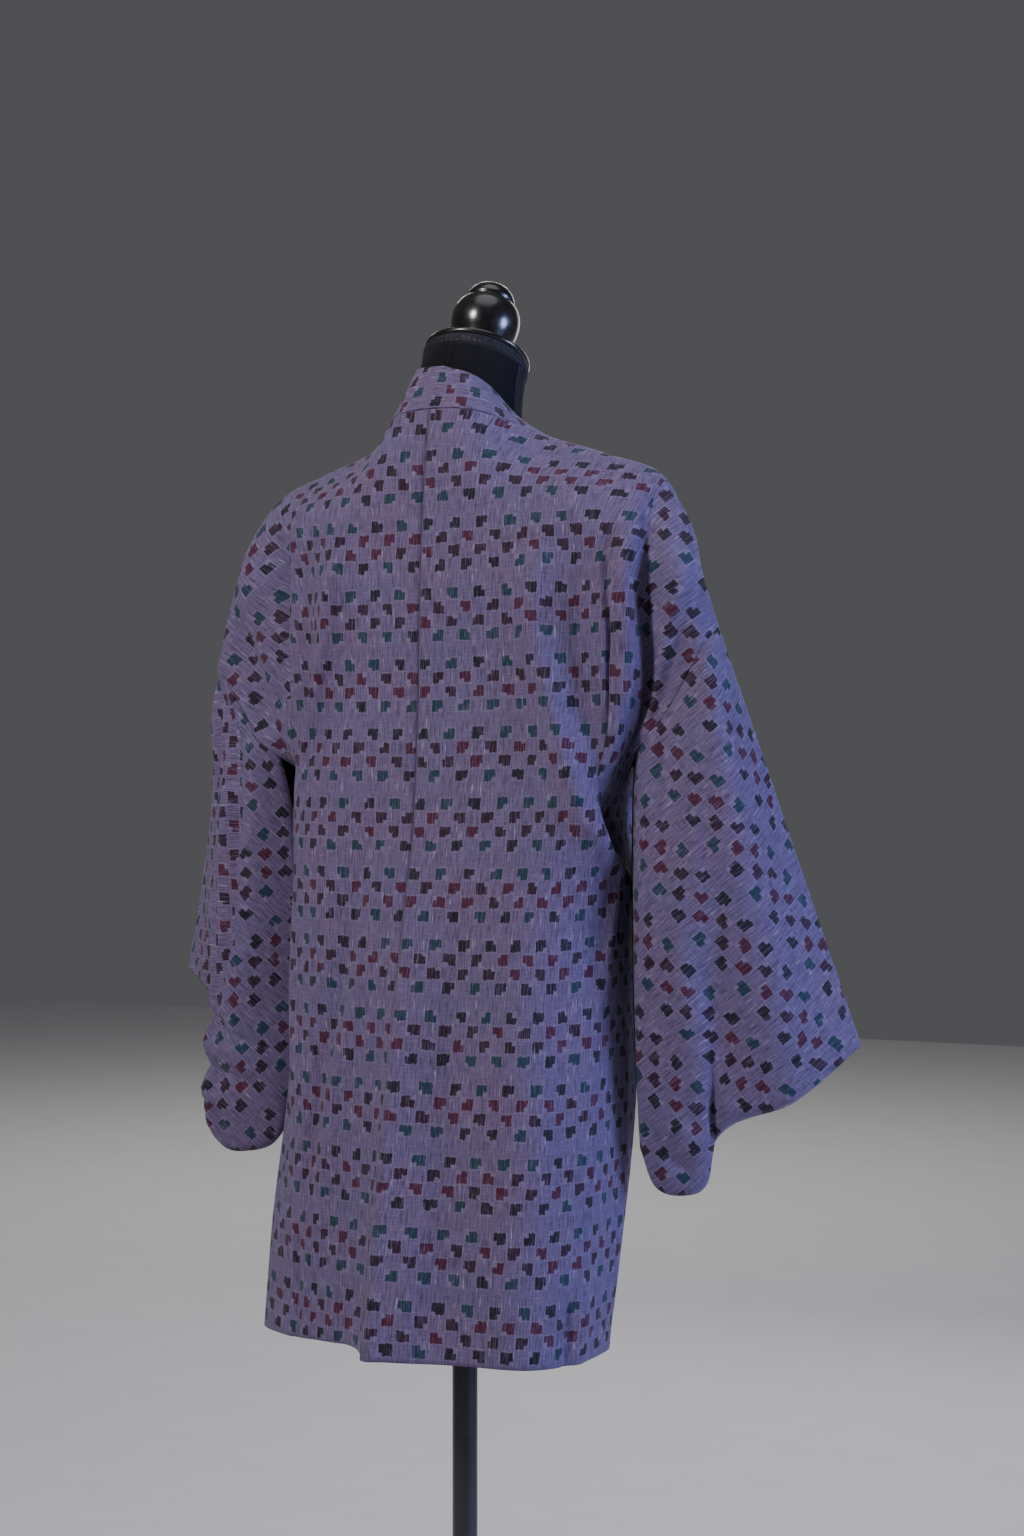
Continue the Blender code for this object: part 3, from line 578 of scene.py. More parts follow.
def body_grids(side):
    """The whole body panel as two grids that share the shoulder row, back and front, before creases.

    A point is the smooth curve down through the sections, then the smooth curve across the lines. The
    outer part is then pushed out under the arm, by smooth steps down and across."""
    every = np.arange(len(LINES))
    outer = every[NECK_LINE:]
    back = [upper_points(row, every) for row in (SHOULDER, *BACK_UPPER[side])]
    back += [level_points(row) for row in BACK_LOWER[side]]
    front = [upper_points(row, outer) for row in (SHOULDER[:1] + SHOULDER[1 + NECK_LINE:], *FRONT_UPPER)]
    front += [level_points(row) for row in FRONT_LOWER[side]]
    knots = [0.0] + [row[0] for row in BACK_UPPER[side]]
    knots += [1.0 + (LEVEL_ORIGIN - row[0]) / LEVEL_SCALE for row in BACK_LOWER[side]]
    falls = spline(np.linspace(0.0, 1.0, len(FALLS)), FALLS, np.linspace(0.0, 1.0, UPPER_STEPS + 1))
    last = 1.0 + (LEVEL_ORIGIN - HEM_HEIGHT) / LEVEL_SCALE
    places = np.concatenate([falls, np.linspace(1.0, last, LOWER_STEPS + 1)[1:]])

    joined_knots = [-knot for knot in knots[:0:-1]] + knots
    joined = front[:0:-1] + [points[NECK_LINE:] for points in back]
    inner = spline(knots, [points[:NECK_LINE] for points in back], places)
    outer_back = spline(joined_knots, joined, places)
    outer_front = spline(joined_knots, joined, -places)
    lines = np.concatenate([inner, outer_back], axis=1)
    back_grid = spline(ACROSS, lines.transpose(1, 0, 2), BACK_PLACES).transpose(1, 0, 2)
    front_grid = spline(ACROSS[NECK_LINE:], outer_front.transpose(1, 0, 2), SIDE_PLACES).transpose(1, 0, 2)
    front_grid[0] = back_grid[0, NECK_STEPS:]
    front_grid = front_folds(front_grid, LEVEL_ORIGIN - (places - 1.0) * LEVEL_SCALE)
    top, full, hold, end = UNDER_ARM_HEIGHTS
    for grid, across in ((back_grid, BACK_PLACES), (front_grid, SIDE_PLACES)):
        rise = (1.0 - smooth_step(full, top, grid[..., 2])) * smooth_step(end, hold, grid[..., 2])
        grid[..., 0] += UNDER_ARM[side] * rise * smooth_step(UNDER_ARM_FROM, ACROSS[-1], across)
    return back_grid, front_grid


def creased(grid, across, creases, out):
    """Move a grid along its own normals by its creases, which fade out by the edges it is sewn on."""
    where = np.stack([np.broadcast_to(across, grid.shape[:2]), grid[..., 2]], axis=-1)
    hold = held(np.linspace(0.0, 1.0, grid.shape[1]), SEWN_EDGE, SEWN_EDGE)
    return grid + surface_normals(grid) * (out * hold * crease_field(where, creases))[..., None]


def body_surface(side):
    """The dressed body: back and front grids with their creases, and for each the cloth's own
    coordinates, across from the centre back and along the warp from a level line.

    Low on the back, a ridge of exp(-(place / width)^2) stands on the centre seam. The seam's edges
    turn in by the square of 1 - place / width, twice as far on the ridge."""
    back, front = body_grids(side)
    level = UPPER_STEPS + int(LOWER_STEPS * (LEVEL_ORIGIN - WARP_ORIGIN) / (LEVEL_ORIGIN - HEM_HEIGHT))
    back_run, front_run = run_down(back), run_down(front)
    back_cloth = np.stack([np.broadcast_to(BACK_PLACES, back.shape[:2]), back_run - back_run[level]], axis=-1)
    top = back_cloth[0, NECK_STEPS:, 1]
    front_cloth = np.stack([np.broadcast_to(SIDE_PLACES, front.shape[:2]), top - front_run], axis=-1)
    back = creased(back, BACK_PLACES, BODY_CREASES[side, "back"], BACK_CREASE_OUT)
    front = creased(front, SIDE_PLACES, BODY_CREASES[side, "front"], FRONT_CREASE_OUT)
    low = 1.0 - smooth_step(*RIDGE_HEIGHTS, back[..., 2])
    back[..., 1] += RIDGE_RISE * low * np.exp(-(BACK_PLACES / RIDGE_WIDTH[side]) ** 2)
    roll = np.clip(1.0 - BACK_PLACES / SEAM_ROLL_WIDTH, 0.0, 1.0) ** 2
    back[..., 1] -= SEAM_ROLL * (1.0 + low) * roll
    back[:, 0, 0] = SEAM_GAP / 2
    front[0] = back[0, NECK_STEPS:]
    return back, front, back_cloth, front_cloth


def hanging_corners(side, grid, cloth, flip):
    """The cloth's coordinates at every corner of a back: past the shoulder's valley the threads turn
    to lie as they do on the sleeve."""
    quads = grid_faces(numbered(grid), flip)
    middle = 0.5 * (BACK_PLACES[:-1] + BACK_PLACES[1:])
    heights = 0.5 * (grid[:-1, :-1, 2] + grid[1:, 1:, 2])
    past = middle > line_at(HANG_FROM[side], heights)
    past[UPPER_STEPS:] = False
    own = to_sleeve(grid)
    turned = turn_threads(side, own[..., 0], own[..., 2]).reshape(-1, 2)
    return np.where(past.reshape(-1, 1, 1), turned[quads], cloth.reshape(-1, 2)[quads])


def turn_threads(side, length, height):
    """Length and height turned by the slope of the warp, as the weft's and the warp's coordinate."""
    slope = math.radians(WARP_SLOPE[side])
    return np.stack([length * math.sin(slope) - height * math.cos(slope),
                     length * math.cos(slope) + height * math.sin(slope)], axis=-1)


def to_sleeve(points, turn=SLEEVE_TURN):
    """x, y, z as reach, depth, height in the sleeve's own plane: turned about the upright."""
    sine, cosine = math.sin(turn), math.cos(turn)
    return np.stack([points[..., 0] * cosine - points[..., 1] * sine,
                     points[..., 0] * sine + points[..., 1] * cosine, points[..., 2]], axis=-1)


def from_sleeve(points):
    """Reach, depth, height in the sleeve's plane as x, y, z: turned back."""
    return to_sleeve(points, -SLEEVE_TURN)


def sleeve_surface(side):
    """One sleeve as a grid: rows go down from the armhole to the rim, columns from the back's inner
    edge over the shoulder fold to the front's. Also its threads, and each column's share.

    The flat place runs straight from seam to rim, less the inner edge's lean. The depth is half the
    gap between the layers, swollen half way down by a sine. Near the seam the cloth leaves in line
    with the body's, by t (1 - t)^11 of the turn between them. Creases then move each layer out."""
    back, front = body_grids(side)
    half = UPPER_STEPS
    seam = to_sleeve(np.concatenate([back[half::-1, -1], front[1:half + 1, -1]]))
    steps = np.arange(2 * half + 1)
    shares = 1.0 - np.abs(steps - half) / half
    facing = np.sign(half - steps)
    rim = np.array(RIM[side], float)
    rim_reach, rim_height, rim_depth, _ = table_curve(rim, shares).T
    widest = rim[:, 4].max()
    opening = np.interp(shares, rim[:, 0], rim[:, 4]) ** 0.5 * widest ** 0.5
    fan = np.clip((shares - RIM_SEWN) / (1.0 - RIM_SEWN), 0.0, 1.0)
    rim_height = rim_height - np.where(facing < 0, FRONT_RIM_DROP[side] * np.sin(math.pi * fan), 0.0)
    swell_line = np.maximum(table_curve(SWELL[side], shares)[:, 0], 0.0)
    sway_line = table_curve(SWAY[side], shares)[:, 0]
    middle_seam = 0.5 * (seam[:, 1] + seam[::-1, 1])

    t = np.linspace(0.0, 1.0, SLEEVE_STEPS + 1)[:, None]
    swing = np.sin(math.pi * t ** SWING_POWER)
    lean = (4.0 * t * (1.0 - t)) ** LEAN_POWER * (1.0 - shares) ** 4
    reach_lean, depth_lean = INNER_LEAN[side]
    reach = seam[:, 0] * (1 - t) + rim_reach * t - reach_lean * lean
    height = seam[:, 2] * (1 - t) + rim_height * t
    middle = middle_seam * (1 - t) + rim_depth * t + sway_line * swing - depth_lean * lean
    half_gap = np.abs(seam[:, 1] - middle_seam) * np.sqrt(1 - t ** 3) * (1 - SEAM_NARROWING * t)
    soft = widest * np.sin(math.pi * fan) ** 2
    half_gap += (soft + (opening - soft) * smooth_step(CUFF_START, 1.0, t)) * t ** 2
    half_gap += swell_line * swing ** SWELL_POWER
    grid = np.stack([reach, middle + facing * half_gap, height], axis=-1)
    edge = np.concatenate([(back[:, -1] - back[:, -4])[half::-1], (front[:, -1] - front[:, -4])[1:half + 1]])
    fall = grid[-1] - grid[0]
    turn = (unit(to_sleeve(edge)) - unit(fall)) * np.linalg.norm(fall, axis=1, keepdims=True)
    turn *= (TAKE_OFF * smooth_step(*TAKE_OFF_SHARES, shares))[:, None]
    grid += turn * (t * (1.0 - t) ** TAKE_OFF_POWER)[..., None]

    where = grid[..., [0, 2]]
    hold = held(shares, *SLEEVE_EDGES) * held(t, *SLEEVE_ENDS)
    lift = np.where(facing >= 0, crease_field(where, SLEEVE_CREASES[side, "back"]),
                    crease_field(where, SLEEVE_CREASES[side, "front"]))
    grid[..., 1] += SLEEVE_CREASE_OUT * facing * hold * lift
    gap = np.where(steps > half, FRONT_ARM_GAP, BACK_ARM_GAP)[:, None]
    grid += unit(grid[1] - grid[0]) * gap * (1 - smooth_step(0.0, SLEEVE_ENDS[0], t))[..., None]
    return grid, sleeve_threads(side, grid, facing), shares


def sleeve_threads(side, grid, facing):
    """The cloth's coordinates on a sleeve: the length rolled out from the inner edge and the height,
    turned by the slope of the warp; and the same laid square, for the left sleeve's outer strip."""
    roll = run_down(grid[..., :2].transpose(1, 0, 2)).T
    start = np.where(facing >= 0, 0, -1)
    length = np.abs(roll - roll[:, start]) + grid[:, start, 0]
    height = grid[..., 2]
    return turn_threads(side, length, height), np.stack([-height, length], axis=-1)


def collar_surface():
    """One band from the right front hem round the neck to the left front hem: each section goes from
    the seam to the free edge, with a slight roll that is a half sine of the share across."""
    shares = np.linspace(0.0, 1.0, COLLAR_STEPS + 1)
    halves, runs = {}, {}
    for side, sign in SIDES.items():
        back, front = body_grids(side)
        seam = np.concatenate([front[::-1, 0], back[0, NECK_STEPS - 1::-1]])
        run = runs[side] = run_down(seam[:, None])[:, 0]
        way = table_curve(COLLAR_RUN[side], run / run[-1]) * [-1.0, 1.0, 1.0]
        gap = unit(way) * COLLAR_SEAM_GAP
        grid = (seam + gap)[:, None] + (way - gap)[:, None] * shares[None, :, None]
        halves[side] = grid * [sign, 1.0, 1.0]
    band = np.concatenate([halves["right"], halves["left"][-2::-1]])
    length = np.concatenate([runs["right"], runs["right"][-1] + runs["left"][-1] - runs["left"][-2::-1]])
    width = np.linalg.norm(band - band[:, :1], axis=2)
    cloth = np.stack([width, np.broadcast_to(length[:, None], width.shape)], axis=-1)
    wobble = sum(rise * np.sin(length / pitch + start) for rise, pitch, start in COLLAR_WAVES)
    roll = np.sin(math.pi * shares) * wobble[:, None]
    return band + surface_normals(band) * roll[..., None], cloth


def gusset_surface(side):
    """The narrow side panel between back and front: straight across, hollowed by a half sine."""
    back, front = body_surface(side)[:2]
    keep = (back[:, -1, 2] <= GUSSET_START_HEIGHT) & (np.arange(len(back)) >= UPPER_STEPS)
    back_edge, front_edge = back[keep, -1], front[keep, -1]
    way = unit(front_edge - back_edge)
    start, end = back_edge + way * SEAM_GAP, front_edge - way * SEAM_GAP
    shares = np.linspace(0.0, 1.0, GUSSET_COLUMNS)
    points = start[:, None] + (end - start)[:, None] * shares[None, :, None]
    inward = np.stack([way[:, 1], -way[:, 0], np.zeros(len(way))], axis=1)
    depth = np.linspace(*GUSSET_HOLLOW, len(points))[:, None] * np.sin(math.pi * shares)
    points += inward[:, None] * depth[..., None]
    width = np.linalg.norm(points - points[:, :1], axis=2)
    return points, np.stack([width, run_down(points)], axis=-1) + GUSSET_CLOTH_START


def ring(height, half_width, front, back, squareness):
    """One level ring of the form, an oval |x|^s + |y|^s = 1 whose front and back depths differ."""
    x, y = (np.sign(value) * np.abs(value) ** (2.0 / squareness)
            for value in (np.cos(turns(FORM_SIDES)), np.sin(turns(FORM_SIDES))))
    return np.stack([half_width * x, np.where(y > 0, back, front) * y, np.full(FORM_SIDES, height)], axis=1)


def neck_place(share):
    """Centre and tilt of the neck at a share of its rise: the tilt grows evenly, and the way to the
    centre leans by half of it."""
    tilt = NECK_LEAN * share
    step = NECK_RISE * share
    back, foot = NECK_FOOT
    return np.array([0.0, back - step * math.sin(tilt / 2), foot + step * math.cos(tilt / 2)]), tilt


def neck_ring(share, angle, radius):
    """A round line about the neck at a share of its rise, tilted forward as the neck is there."""
    centre, tilt = neck_place(share)
    across, along = radius * np.cos(angle), radius * np.sin(angle)
    return centre + np.stack([across, along * math.cos(tilt), along * math.sin(tilt)], axis=1)


def form_surface():
    """The torso and neck: straight between the rings, then rounded by a short running mean below the
    shoulders, so that it stays inside the cloth."""
    rows = np.array(FORM_RINGS, float)
    counts = np.maximum(np.round(np.diff(rows[:, 0]) / FORM_ROW).astype(int), 3)
    places = [i + np.arange(count) / count for i, count in enumerate(counts)]
    places = np.concatenate([*places, [len(rows) - 1]])
    fine = np.stack([np.interp(places, np.arange(len(rows)), column) for column in rows.T], axis=1)
    padded = np.pad(fine, ((FORM_MEAN // 2, FORM_MEAN // 2), (0, 0)), mode="edge")
    mean = sum(padded[i:i + len(fine)] for i in range(FORM_MEAN)) / FORM_MEAN
    weight = smooth_step(*FORM_ROUND_IN, fine[:, 0]) * (1 - smooth_step(*FORM_ROUND_OUT, fine[:, 0]))
    fine[:, 1:] += (mean - fine)[:, 1:] * weight[:, None]
    neck = [neck_ring(share, turns(FORM_SIDES), NECK_RADIUS) for share in np.linspace(0.0, 1.0, NECK_ROWS)]
    return np.array([ring(*row) for row in fine] + neck)


def turned_piece(outline, sides=TURNED_SIDES):
    """A closed turned piece, as points, quads and fans: the outline's radius times the cosine and sine
    of even turns, at its height, with its two ends on the axis as single points joined by fans."""
    outline = np.array(outline, float)
    radius, height = outline[1:-1, :1], outline[1:-1, 1:]
    angle = turns(sides)
    grid = np.stack([radius * np.cos(angle), radius * np.sin(angle), height + 0 * angle], axis=-1)
    points, quads, _ = join_rings(grid)
    ends = np.array([[0.0, 0.0, outline[0, 1]], [0.0, 0.0, outline[-1, 1]]])
    top = len(points)
    first = np.arange(sides)
    last = first + top - sides
    fans = np.concatenate([np.stack([np.full(sides, top), np.roll(first, -1), first], axis=1),
                           np.stack([np.full(sides, top + 1), last, np.roll(last, -1)], axis=1)])
    return np.concatenate([points, ends]), quads[:, ::-1], fans[:, ::-1].tolist()


def rounded_disc(radius, height, edge):
    """The outline of a flat disc whose rims are quarter rounds, from the axis round to the axis."""
    bend = np.linspace(0.0, math.pi / 2, 7)
    top = np.column_stack([radius - edge + edge * np.sin(bend), height - edge + edge * np.cos(bend)])
    foot = np.column_stack([radius - edge + edge * np.cos(bend), edge - edge * np.sin(bend)])
    return np.concatenate([[[0.0, height]], top, foot, [[0.0, 0.0]]])


def braid_surface(relief):
    """The braid round the neck: a band whose edges round in by a root, with two rows of plaits.

    A plait is half of (1 + cosine) of the turn times their number, slanted by the height, and each row
    fades by a sine towards its edges."""
    turn = turns(TRIM_STEPS[0])
    section = np.linspace(0.0, 1.0, TRIM_STEPS[1])
    profile = np.clip(np.minimum(section, 1 - section) / TRIM_EDGE, 0.0, 1.0)
    height = TRIM_HEIGHT * np.clip((section - TRIM_EDGE) / (1 - 2 * TRIM_EDGE), 0.0, 1.0)
    radius = TRIM_BACK + (TRIM_RADIUS - TRIM_BACK) * np.sqrt(profile)
    row = np.where(height < TRIM_HEIGHT / 2, 1.0, -1.0)
    across = np.abs(np.sin(2 * math.pi * height / TRIM_HEIGHT))
    slant = 0.5 + 0.5 * np.cos(TRIM_PLAITS * turn + (row * height * TRIM_SLANT)[:, None])
    lift = relief / MM * (across[:, None] * (1.0 - TRIM_DEPTH * (1.0 - slant)) - 1.0) * profile[:, None]
    reach = radius[:, None] + lift
    return np.stack([reach * np.cos(turn), reach * np.sin(turn), height[:, None] + 0 * turn], axis=-1)


def side_trim_surface(side, relief):
    """The narrow braid up the side of the neck: a strip on the neck's rings, crowned by the root of
    1 - (place / half width)^2 and plaited by a cosine."""
    width = np.linspace(-SIDE_TRIM_WIDTH, SIDE_TRIM_WIDTH, SIDE_TRIM_STEPS[0])
    angle = (math.pi if side == "right" else 0.0) + width
    crown = np.sqrt(1 - (width / SIDE_TRIM_ROUND) ** 2)
    up, outward = SIDE_TRIM_TURNS
    rows = []
    for share in np.linspace(0.0, SIDE_TRIM_END, SIDE_TRIM_STEPS[1]):
        plait = 0.5 + 0.5 * np.cos(share * up + np.abs(width) * outward)
        radius = NECK_RADIUS + SIDE_TRIM_LIFT + crown * (SIDE_TRIM_CROWN + relief / MM * plait)
        rows.append(neck_ring(share, angle, radius))
    return np.array(rows)


# ---------------------------------------------------------------------------------- meshes
def numbered(grid):
    """The number of each point of a grid, row by row."""
    return np.arange(grid.shape[0] * grid.shape[1]).reshape(grid.shape[:2])


def grid_faces(numbers, flip=False):
    """Quads over a table of vertex numbers; flip turns them to face the other way."""
    corners = np.stack([numbers[:-1, :-1], numbers[:-1, 1:], numbers[1:, 1:], numbers[1:, :-1]], axis=-1)
    quads = corners.reshape(-1, 4)
    return quads[:, ::-1] if flip else quads


def make_mesh(name, points, quads, cloth=None, caps=()):
    """A mesh piece in metres from points in mm, its quads and any end caps, with the cloth's own
    coordinates in metres as its UV map; cloth is per point, or per corner of every quad."""
    mesh = bpy.data.meshes.new(name)
    faces = [*np.asarray(quads).tolist(), *caps]
    mesh.from_pydata((np.asarray(points) * MM).tolist(), [], faces)
    if cloth is not None:
        corners = np.empty(len(mesh.loops), int)
        mesh.loops.foreach_get("vertex_index", corners)
        values = cloth[corners] if cloth.ndim == 2 else cloth.reshape(-1, 2)
        layer = mesh.uv_layers.new(name="cloth")
        layer.data.foreach_set("uv", (values * MM).astype(np.float32).ravel())
    mesh.validate()
    mesh.update()
    mesh.shade_smooth()
    piece = bpy.data.objects.new(name, mesh)
    bpy.context.scene.collection.objects.link(piece)
    return piece


def grid_piece(name, grid, cloth=None, sign=1, flip=False):
    """The mesh of a whole grid of points, mirrored across x where the sign is -1."""
    cloth = None if cloth is None else cloth.reshape(-1, 2)
    return make_mesh(name, grid.reshape(-1, 3) * [sign, 1, 1], grid_faces(numbered(grid), flip), cloth)


def add_wall(piece, wall, offset=1.0, inside=False):
    """Give an open sheet its thickness; inside gives the faces it adds the second material."""
    solid = piece.modifiers.new("wall", "SOLIDIFY")
    solid.thickness = wall
    solid.offset = offset
    solid.use_even_offset = False
    solid.use_quality_normals = True
    if inside:
        solid.material_offset = 1


def dress(piece, slot, *materials, node=None):
    """Ride, materials and the CAD node that the piece stands for; slot is not used."""
    for material in materials:
        piece.data.materials.append(material)
    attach(piece, "root")
    if node:
        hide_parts(node)


def join_rings(rings):
    """Points, quads and end caps of a tube lofted through closed rings."""
    numbers = numbered(rings)
    wrapped = np.concatenate([numbers, numbers[:, :1]], axis=1)
    return rings.reshape(-1, 3), grid_faces(wrapped), [numbers[0, ::-1].tolist(), numbers[-1].tolist()]


def seat_on_neck(points, lift):
    """Points about their own axis, lifted along it and set on the neck's tilted top."""
    centre, tilt = neck_place(1.0)
    turn = np.array([[1, 0, 0], [0, math.cos(tilt), -math.sin(tilt)], [0, math.sin(tilt), math.cos(tilt)]])
    return (points + np.array([0.0, 0.0, lift])) @ turn.T + centre


# ---------------------------------------------------------------------------------- finishes
def node_sign(operation, turned=False):
    """A method that adds one math node to a wire, with the wire as its second value where turned."""
    def method(self, other=None):
        return self.recipe.math(operation, *((other, self) if turned else (self, other)))
    return method


class Wire:
    """A value on its way through a material: each sign or word adds the math node of that name."""

    __add__, __radd__ = node_sign("ADD"), node_sign("ADD", True)
    __sub__, __rsub__ = node_sign("SUBTRACT"), node_sign("SUBTRACT", True)
    __mul__, __rmul__ = node_sign("MULTIPLY"), node_sign("MULTIPLY", True)
    __truediv__, __mod__ = node_sign("DIVIDE"), node_sign("FLOORED_MODULO")
    __gt__, __lt__ = node_sign("GREATER_THAN"), node_sign("LESS_THAN")
    __abs__, sign, floor = node_sign("ABSOLUTE"), node_sign("SIGN"), node_sign("FLOOR")
    fraction, sine, at_least = node_sign("FRACT"), node_sign("SINE"), node_sign("MAXIMUM")

    def __init__(self, recipe, socket):
        self.recipe = recipe
        self.socket = socket

    def outputs(self):
        """Every output of the node that the wire comes from."""
        return [Wire(self.recipe, socket) for socket in self.socket.node.outputs]

    def step(self, low, high, start=0.0, end=1.0):
        """The start value below low, the end value above high, and a smooth step between them."""
        given = enumerate((self, low, high, start, end))
        return self.recipe.node("ShaderNodeMapRange", given, interpolation_type="SMOOTHSTEP")

    def ribs(self, pitch):
        """A sine wave of this pitch."""
        return (self * (2 * math.pi / pitch)).sine()


class Recipe:
    """A short hand for wiring one material."""

    def __init__(self, name):
        self.material = bpy.data.materials.new(name)
        self.material.use_nodes = True
        self.tree = self.material.node_tree

    def put(self, socket, value):
        """Link a wire to a socket, or set the socket's own constant; a colour gets full alpha."""
        if isinstance(value, Wire):
            self.tree.links.new(value.socket, socket)
        elif value is not None:
            socket.default_value = (*value, 1.0) if socket.type == "RGBA" else value

    def node(self, kind, given=(), output=0, **values):
        """One node with its own values set and its inputs given by number or name, as an output's wire."""
        made = self.tree.nodes.new(kind)
        for key, value in values.items():
            setattr(made, key, value)
        for key, value in dict(given).items():
            self.put(made.inputs[key], value)
        return Wire(self, made.outputs[output])

    def math(self, operation, *values):
        """One math node on its values."""
        return self.node("ShaderNodeMath", enumerate(values), operation=operation)

    def mix(self, share, first, second):
        """The first colour at share 0, the second at share 1."""
        return self.node("ShaderNodeMix", {0: share, 6: first, 7: second}, 2, data_type="RGBA")

    def place(self):
        """Where a point lies on the object, in metres, as one place."""
        return self.node("ShaderNodeTexCoord", output="Object")

    def join(self, *parts):
        """A place from its x, y and z; z is 0 where it isn't given."""
        return self.node("ShaderNodeCombineXYZ", enumerate(parts))

    def split(self, place):
        """The x, y and z of a place."""
        return self.node("ShaderNodeSeparateXYZ", {0: place}).outputs()

    def noise(self, place, scale, detail=2.0, roughness=0.5):
        """Smooth noise, scale waves to the metre."""
        given = {"Vector": place, "Scale": scale, "Detail": detail, "Roughness": roughness}
        return self.node("ShaderNodeTexNoise", given)

    def chance(self, *parts):
        """Three values from 0 to 1, as good as random, that stay the same at the same place."""
        given = {"Vector": self.join(*parts)}
        colour = self.node("ShaderNodeTexWhiteNoise", given, "Color", noise_dimensions="3D")
        return self.node("ShaderNodeSeparateColor", {0: colour}).outputs()

    def bump(self, height, distance, strength=1.0, below=None):
        """The normal tilted by the slope of height times distance, over an earlier normal."""
        given = {"Strength": strength, "Distance": distance, "Height": height, "Normal": below}
        return self.node("ShaderNodeBump", given)

    def finish(self, colour, roughness, normal=None, **plain):
        """Feed the material's shader; _ stands for a space in the names of its further inputs."""
        inputs = self.tree.nodes["Principled BSDF"].inputs
        plain.update(Base_Color=colour, Roughness=roughness, Normal=normal)
        for key, value in plain.items():
            self.put(inputs[key.replace("_", " ")], value)
        return self.material


def cloth_place(recipe):
    """The cloth's own coordinates in metres: along the weft, along the warp."""
    return recipe.split(recipe.node("ShaderNodeUVMap", uv_map="cloth"))[:2]


def tinted(colour, *factors):
    """A colour times one factor, or one for each channel, held at 1."""
    return tuple(min(value * factor, 1.0) for value, factor in zip(colour, factors * (3 // len(factors))))


def check_ikat(settings):
    """Small-check ikat: rows of five, two of teal and navy, two of red and maroon, one left bare.

    A check shows where column + row is odd. Each has one corner left out, and its edges follow the
    single threads, so they are ragged along the warp."""
    made = Recipe("check_ikat")
    weft, warp = cloth_place(made)
    columns, rows = weft / settings.check_width, warp / settings.check_length
    slip = made.chance((weft / THREAD_WIDTH).floor(), rows.floor(), 4.0)
    jog = made.chance((warp / PICK_WIDTH).floor(), columns.floor(), 9.0)
    sway = made.noise(made.join(weft, warp), 22.0, 1.0)
    rows = rows + (slip[0] - 0.5) * 0.10
    columns = columns + (jog[0] - 0.5) * 0.05
    columns = columns + (sway - 0.5) * 0.30
    column, row = columns.floor(), rows.floor()
    x, y = columns.fraction() - 0.5, rows.fraction() - 0.5
    turn = row % 5.0
    odd = (column + turn) % 2.0
    dice, more = made.chance(column, row, 2.0), made.chance(column, row, 7.0)
    past_x = 0.39 + more[0] * 0.05 - abs(x)
    past_y = 0.37 + more[1] * 0.07 - abs(y)
    inside = past_x.step(-0.02, 0.03) * past_y.step(-0.03, 0.04)
    around = past_x.step(-0.12, -0.05) * past_y.step(-0.12, -0.05)
    side, end = (dice[0] - 0.5).sign(), (dice[1] - 0.35).sign()
    notch = (x * side > 0.05 + more[2] * 0.15) * (y * end > 0.05 + more[0] * 0.16)
    shown = (odd > 0.5) * (turn < 3.5)
    check = inside * shown * (1.0 - notch)

    pair = ((column + turn) / 2.0).floor() % 2.0
    dark = abs(pair - (dice[2] > 0.78))
    cold = made.mix(dark, settings.teal, settings.navy)
    warm = made.mix(dark, settings.red, settings.maroon)
    dyed = made.mix(abs(turn - 1.5) < 0.9, cold, warm)

    strands = made.noise(made.join(weft, warp * 0.07), 950.0, 3.0, 0.6)
    threads = made.noise(made.join(weft * 0.09, warp), 800.0, 3.0, 0.6)
    long_slub = made.noise(made.join(weft, warp * 0.11), 520.0, 2.0, 0.55).step(0.60, 0.78)
    cross_slub = made.noise(made.join(weft * 0.16, warp), 560.0, 2.0, 0.5).step(0.66, 0.80)
    cloudy = made.noise(made.join(weft, warp), 14.0, 3.0)
    patch = made.noise(made.join(weft, warp * 0.35), 90.0, 2.0)

    ground = made.mix(cloudy.step(0.3, 0.7), settings.ground, tinted(settings.ground, 1.14, 0.97, 0.93))
    ground = made.mix(strands.step(0.34, 0.60, 0.85, 0.0), ground, tinted(settings.ground, 0.40))
    ground = made.mix(threads.step(0.46, 0.72, 0.0, 0.16), ground, settings.slub)
    ground = made.mix(patch.step(0.35, 0.7, 0.0, 0.14), ground, tinted(settings.ground, 0.6))
    for share in (long_slub * 0.80, cross_slub * 0.34, around * shown * 0.15):
        ground = made.mix(share, ground, settings.slub)
    fade = strands.step(0.46, 0.70) * 0.36 + long_slub * 0.30
    colour = made.mix(check * (0.96 - fade), ground, dyed)

    weave = weft.ribs(WEAVE_PITCHES[0]) * (warp + weft * 0.5).ribs(WEAVE_PITCHES[1])
    relief = weave * 0.28 + (strands * 0.8 + long_slub * 0.7) + (cross_slub + threads) * 0.5
    puckers = made.noise(made.join(weft, warp * 0.45), 70.0, 3.0, 0.6)
    normal = made.bump(relief, 0.00030, 0.9, made.bump(puckers, 0.0011, 0.5))
    return made.finish(colour, long_slub.step(0.0, 1.0, 0.78, 0.62), normal,
                       Sheen_Weight=0.09, Sheen_Roughness=0.45, Specular_IOR_Level=0.22)


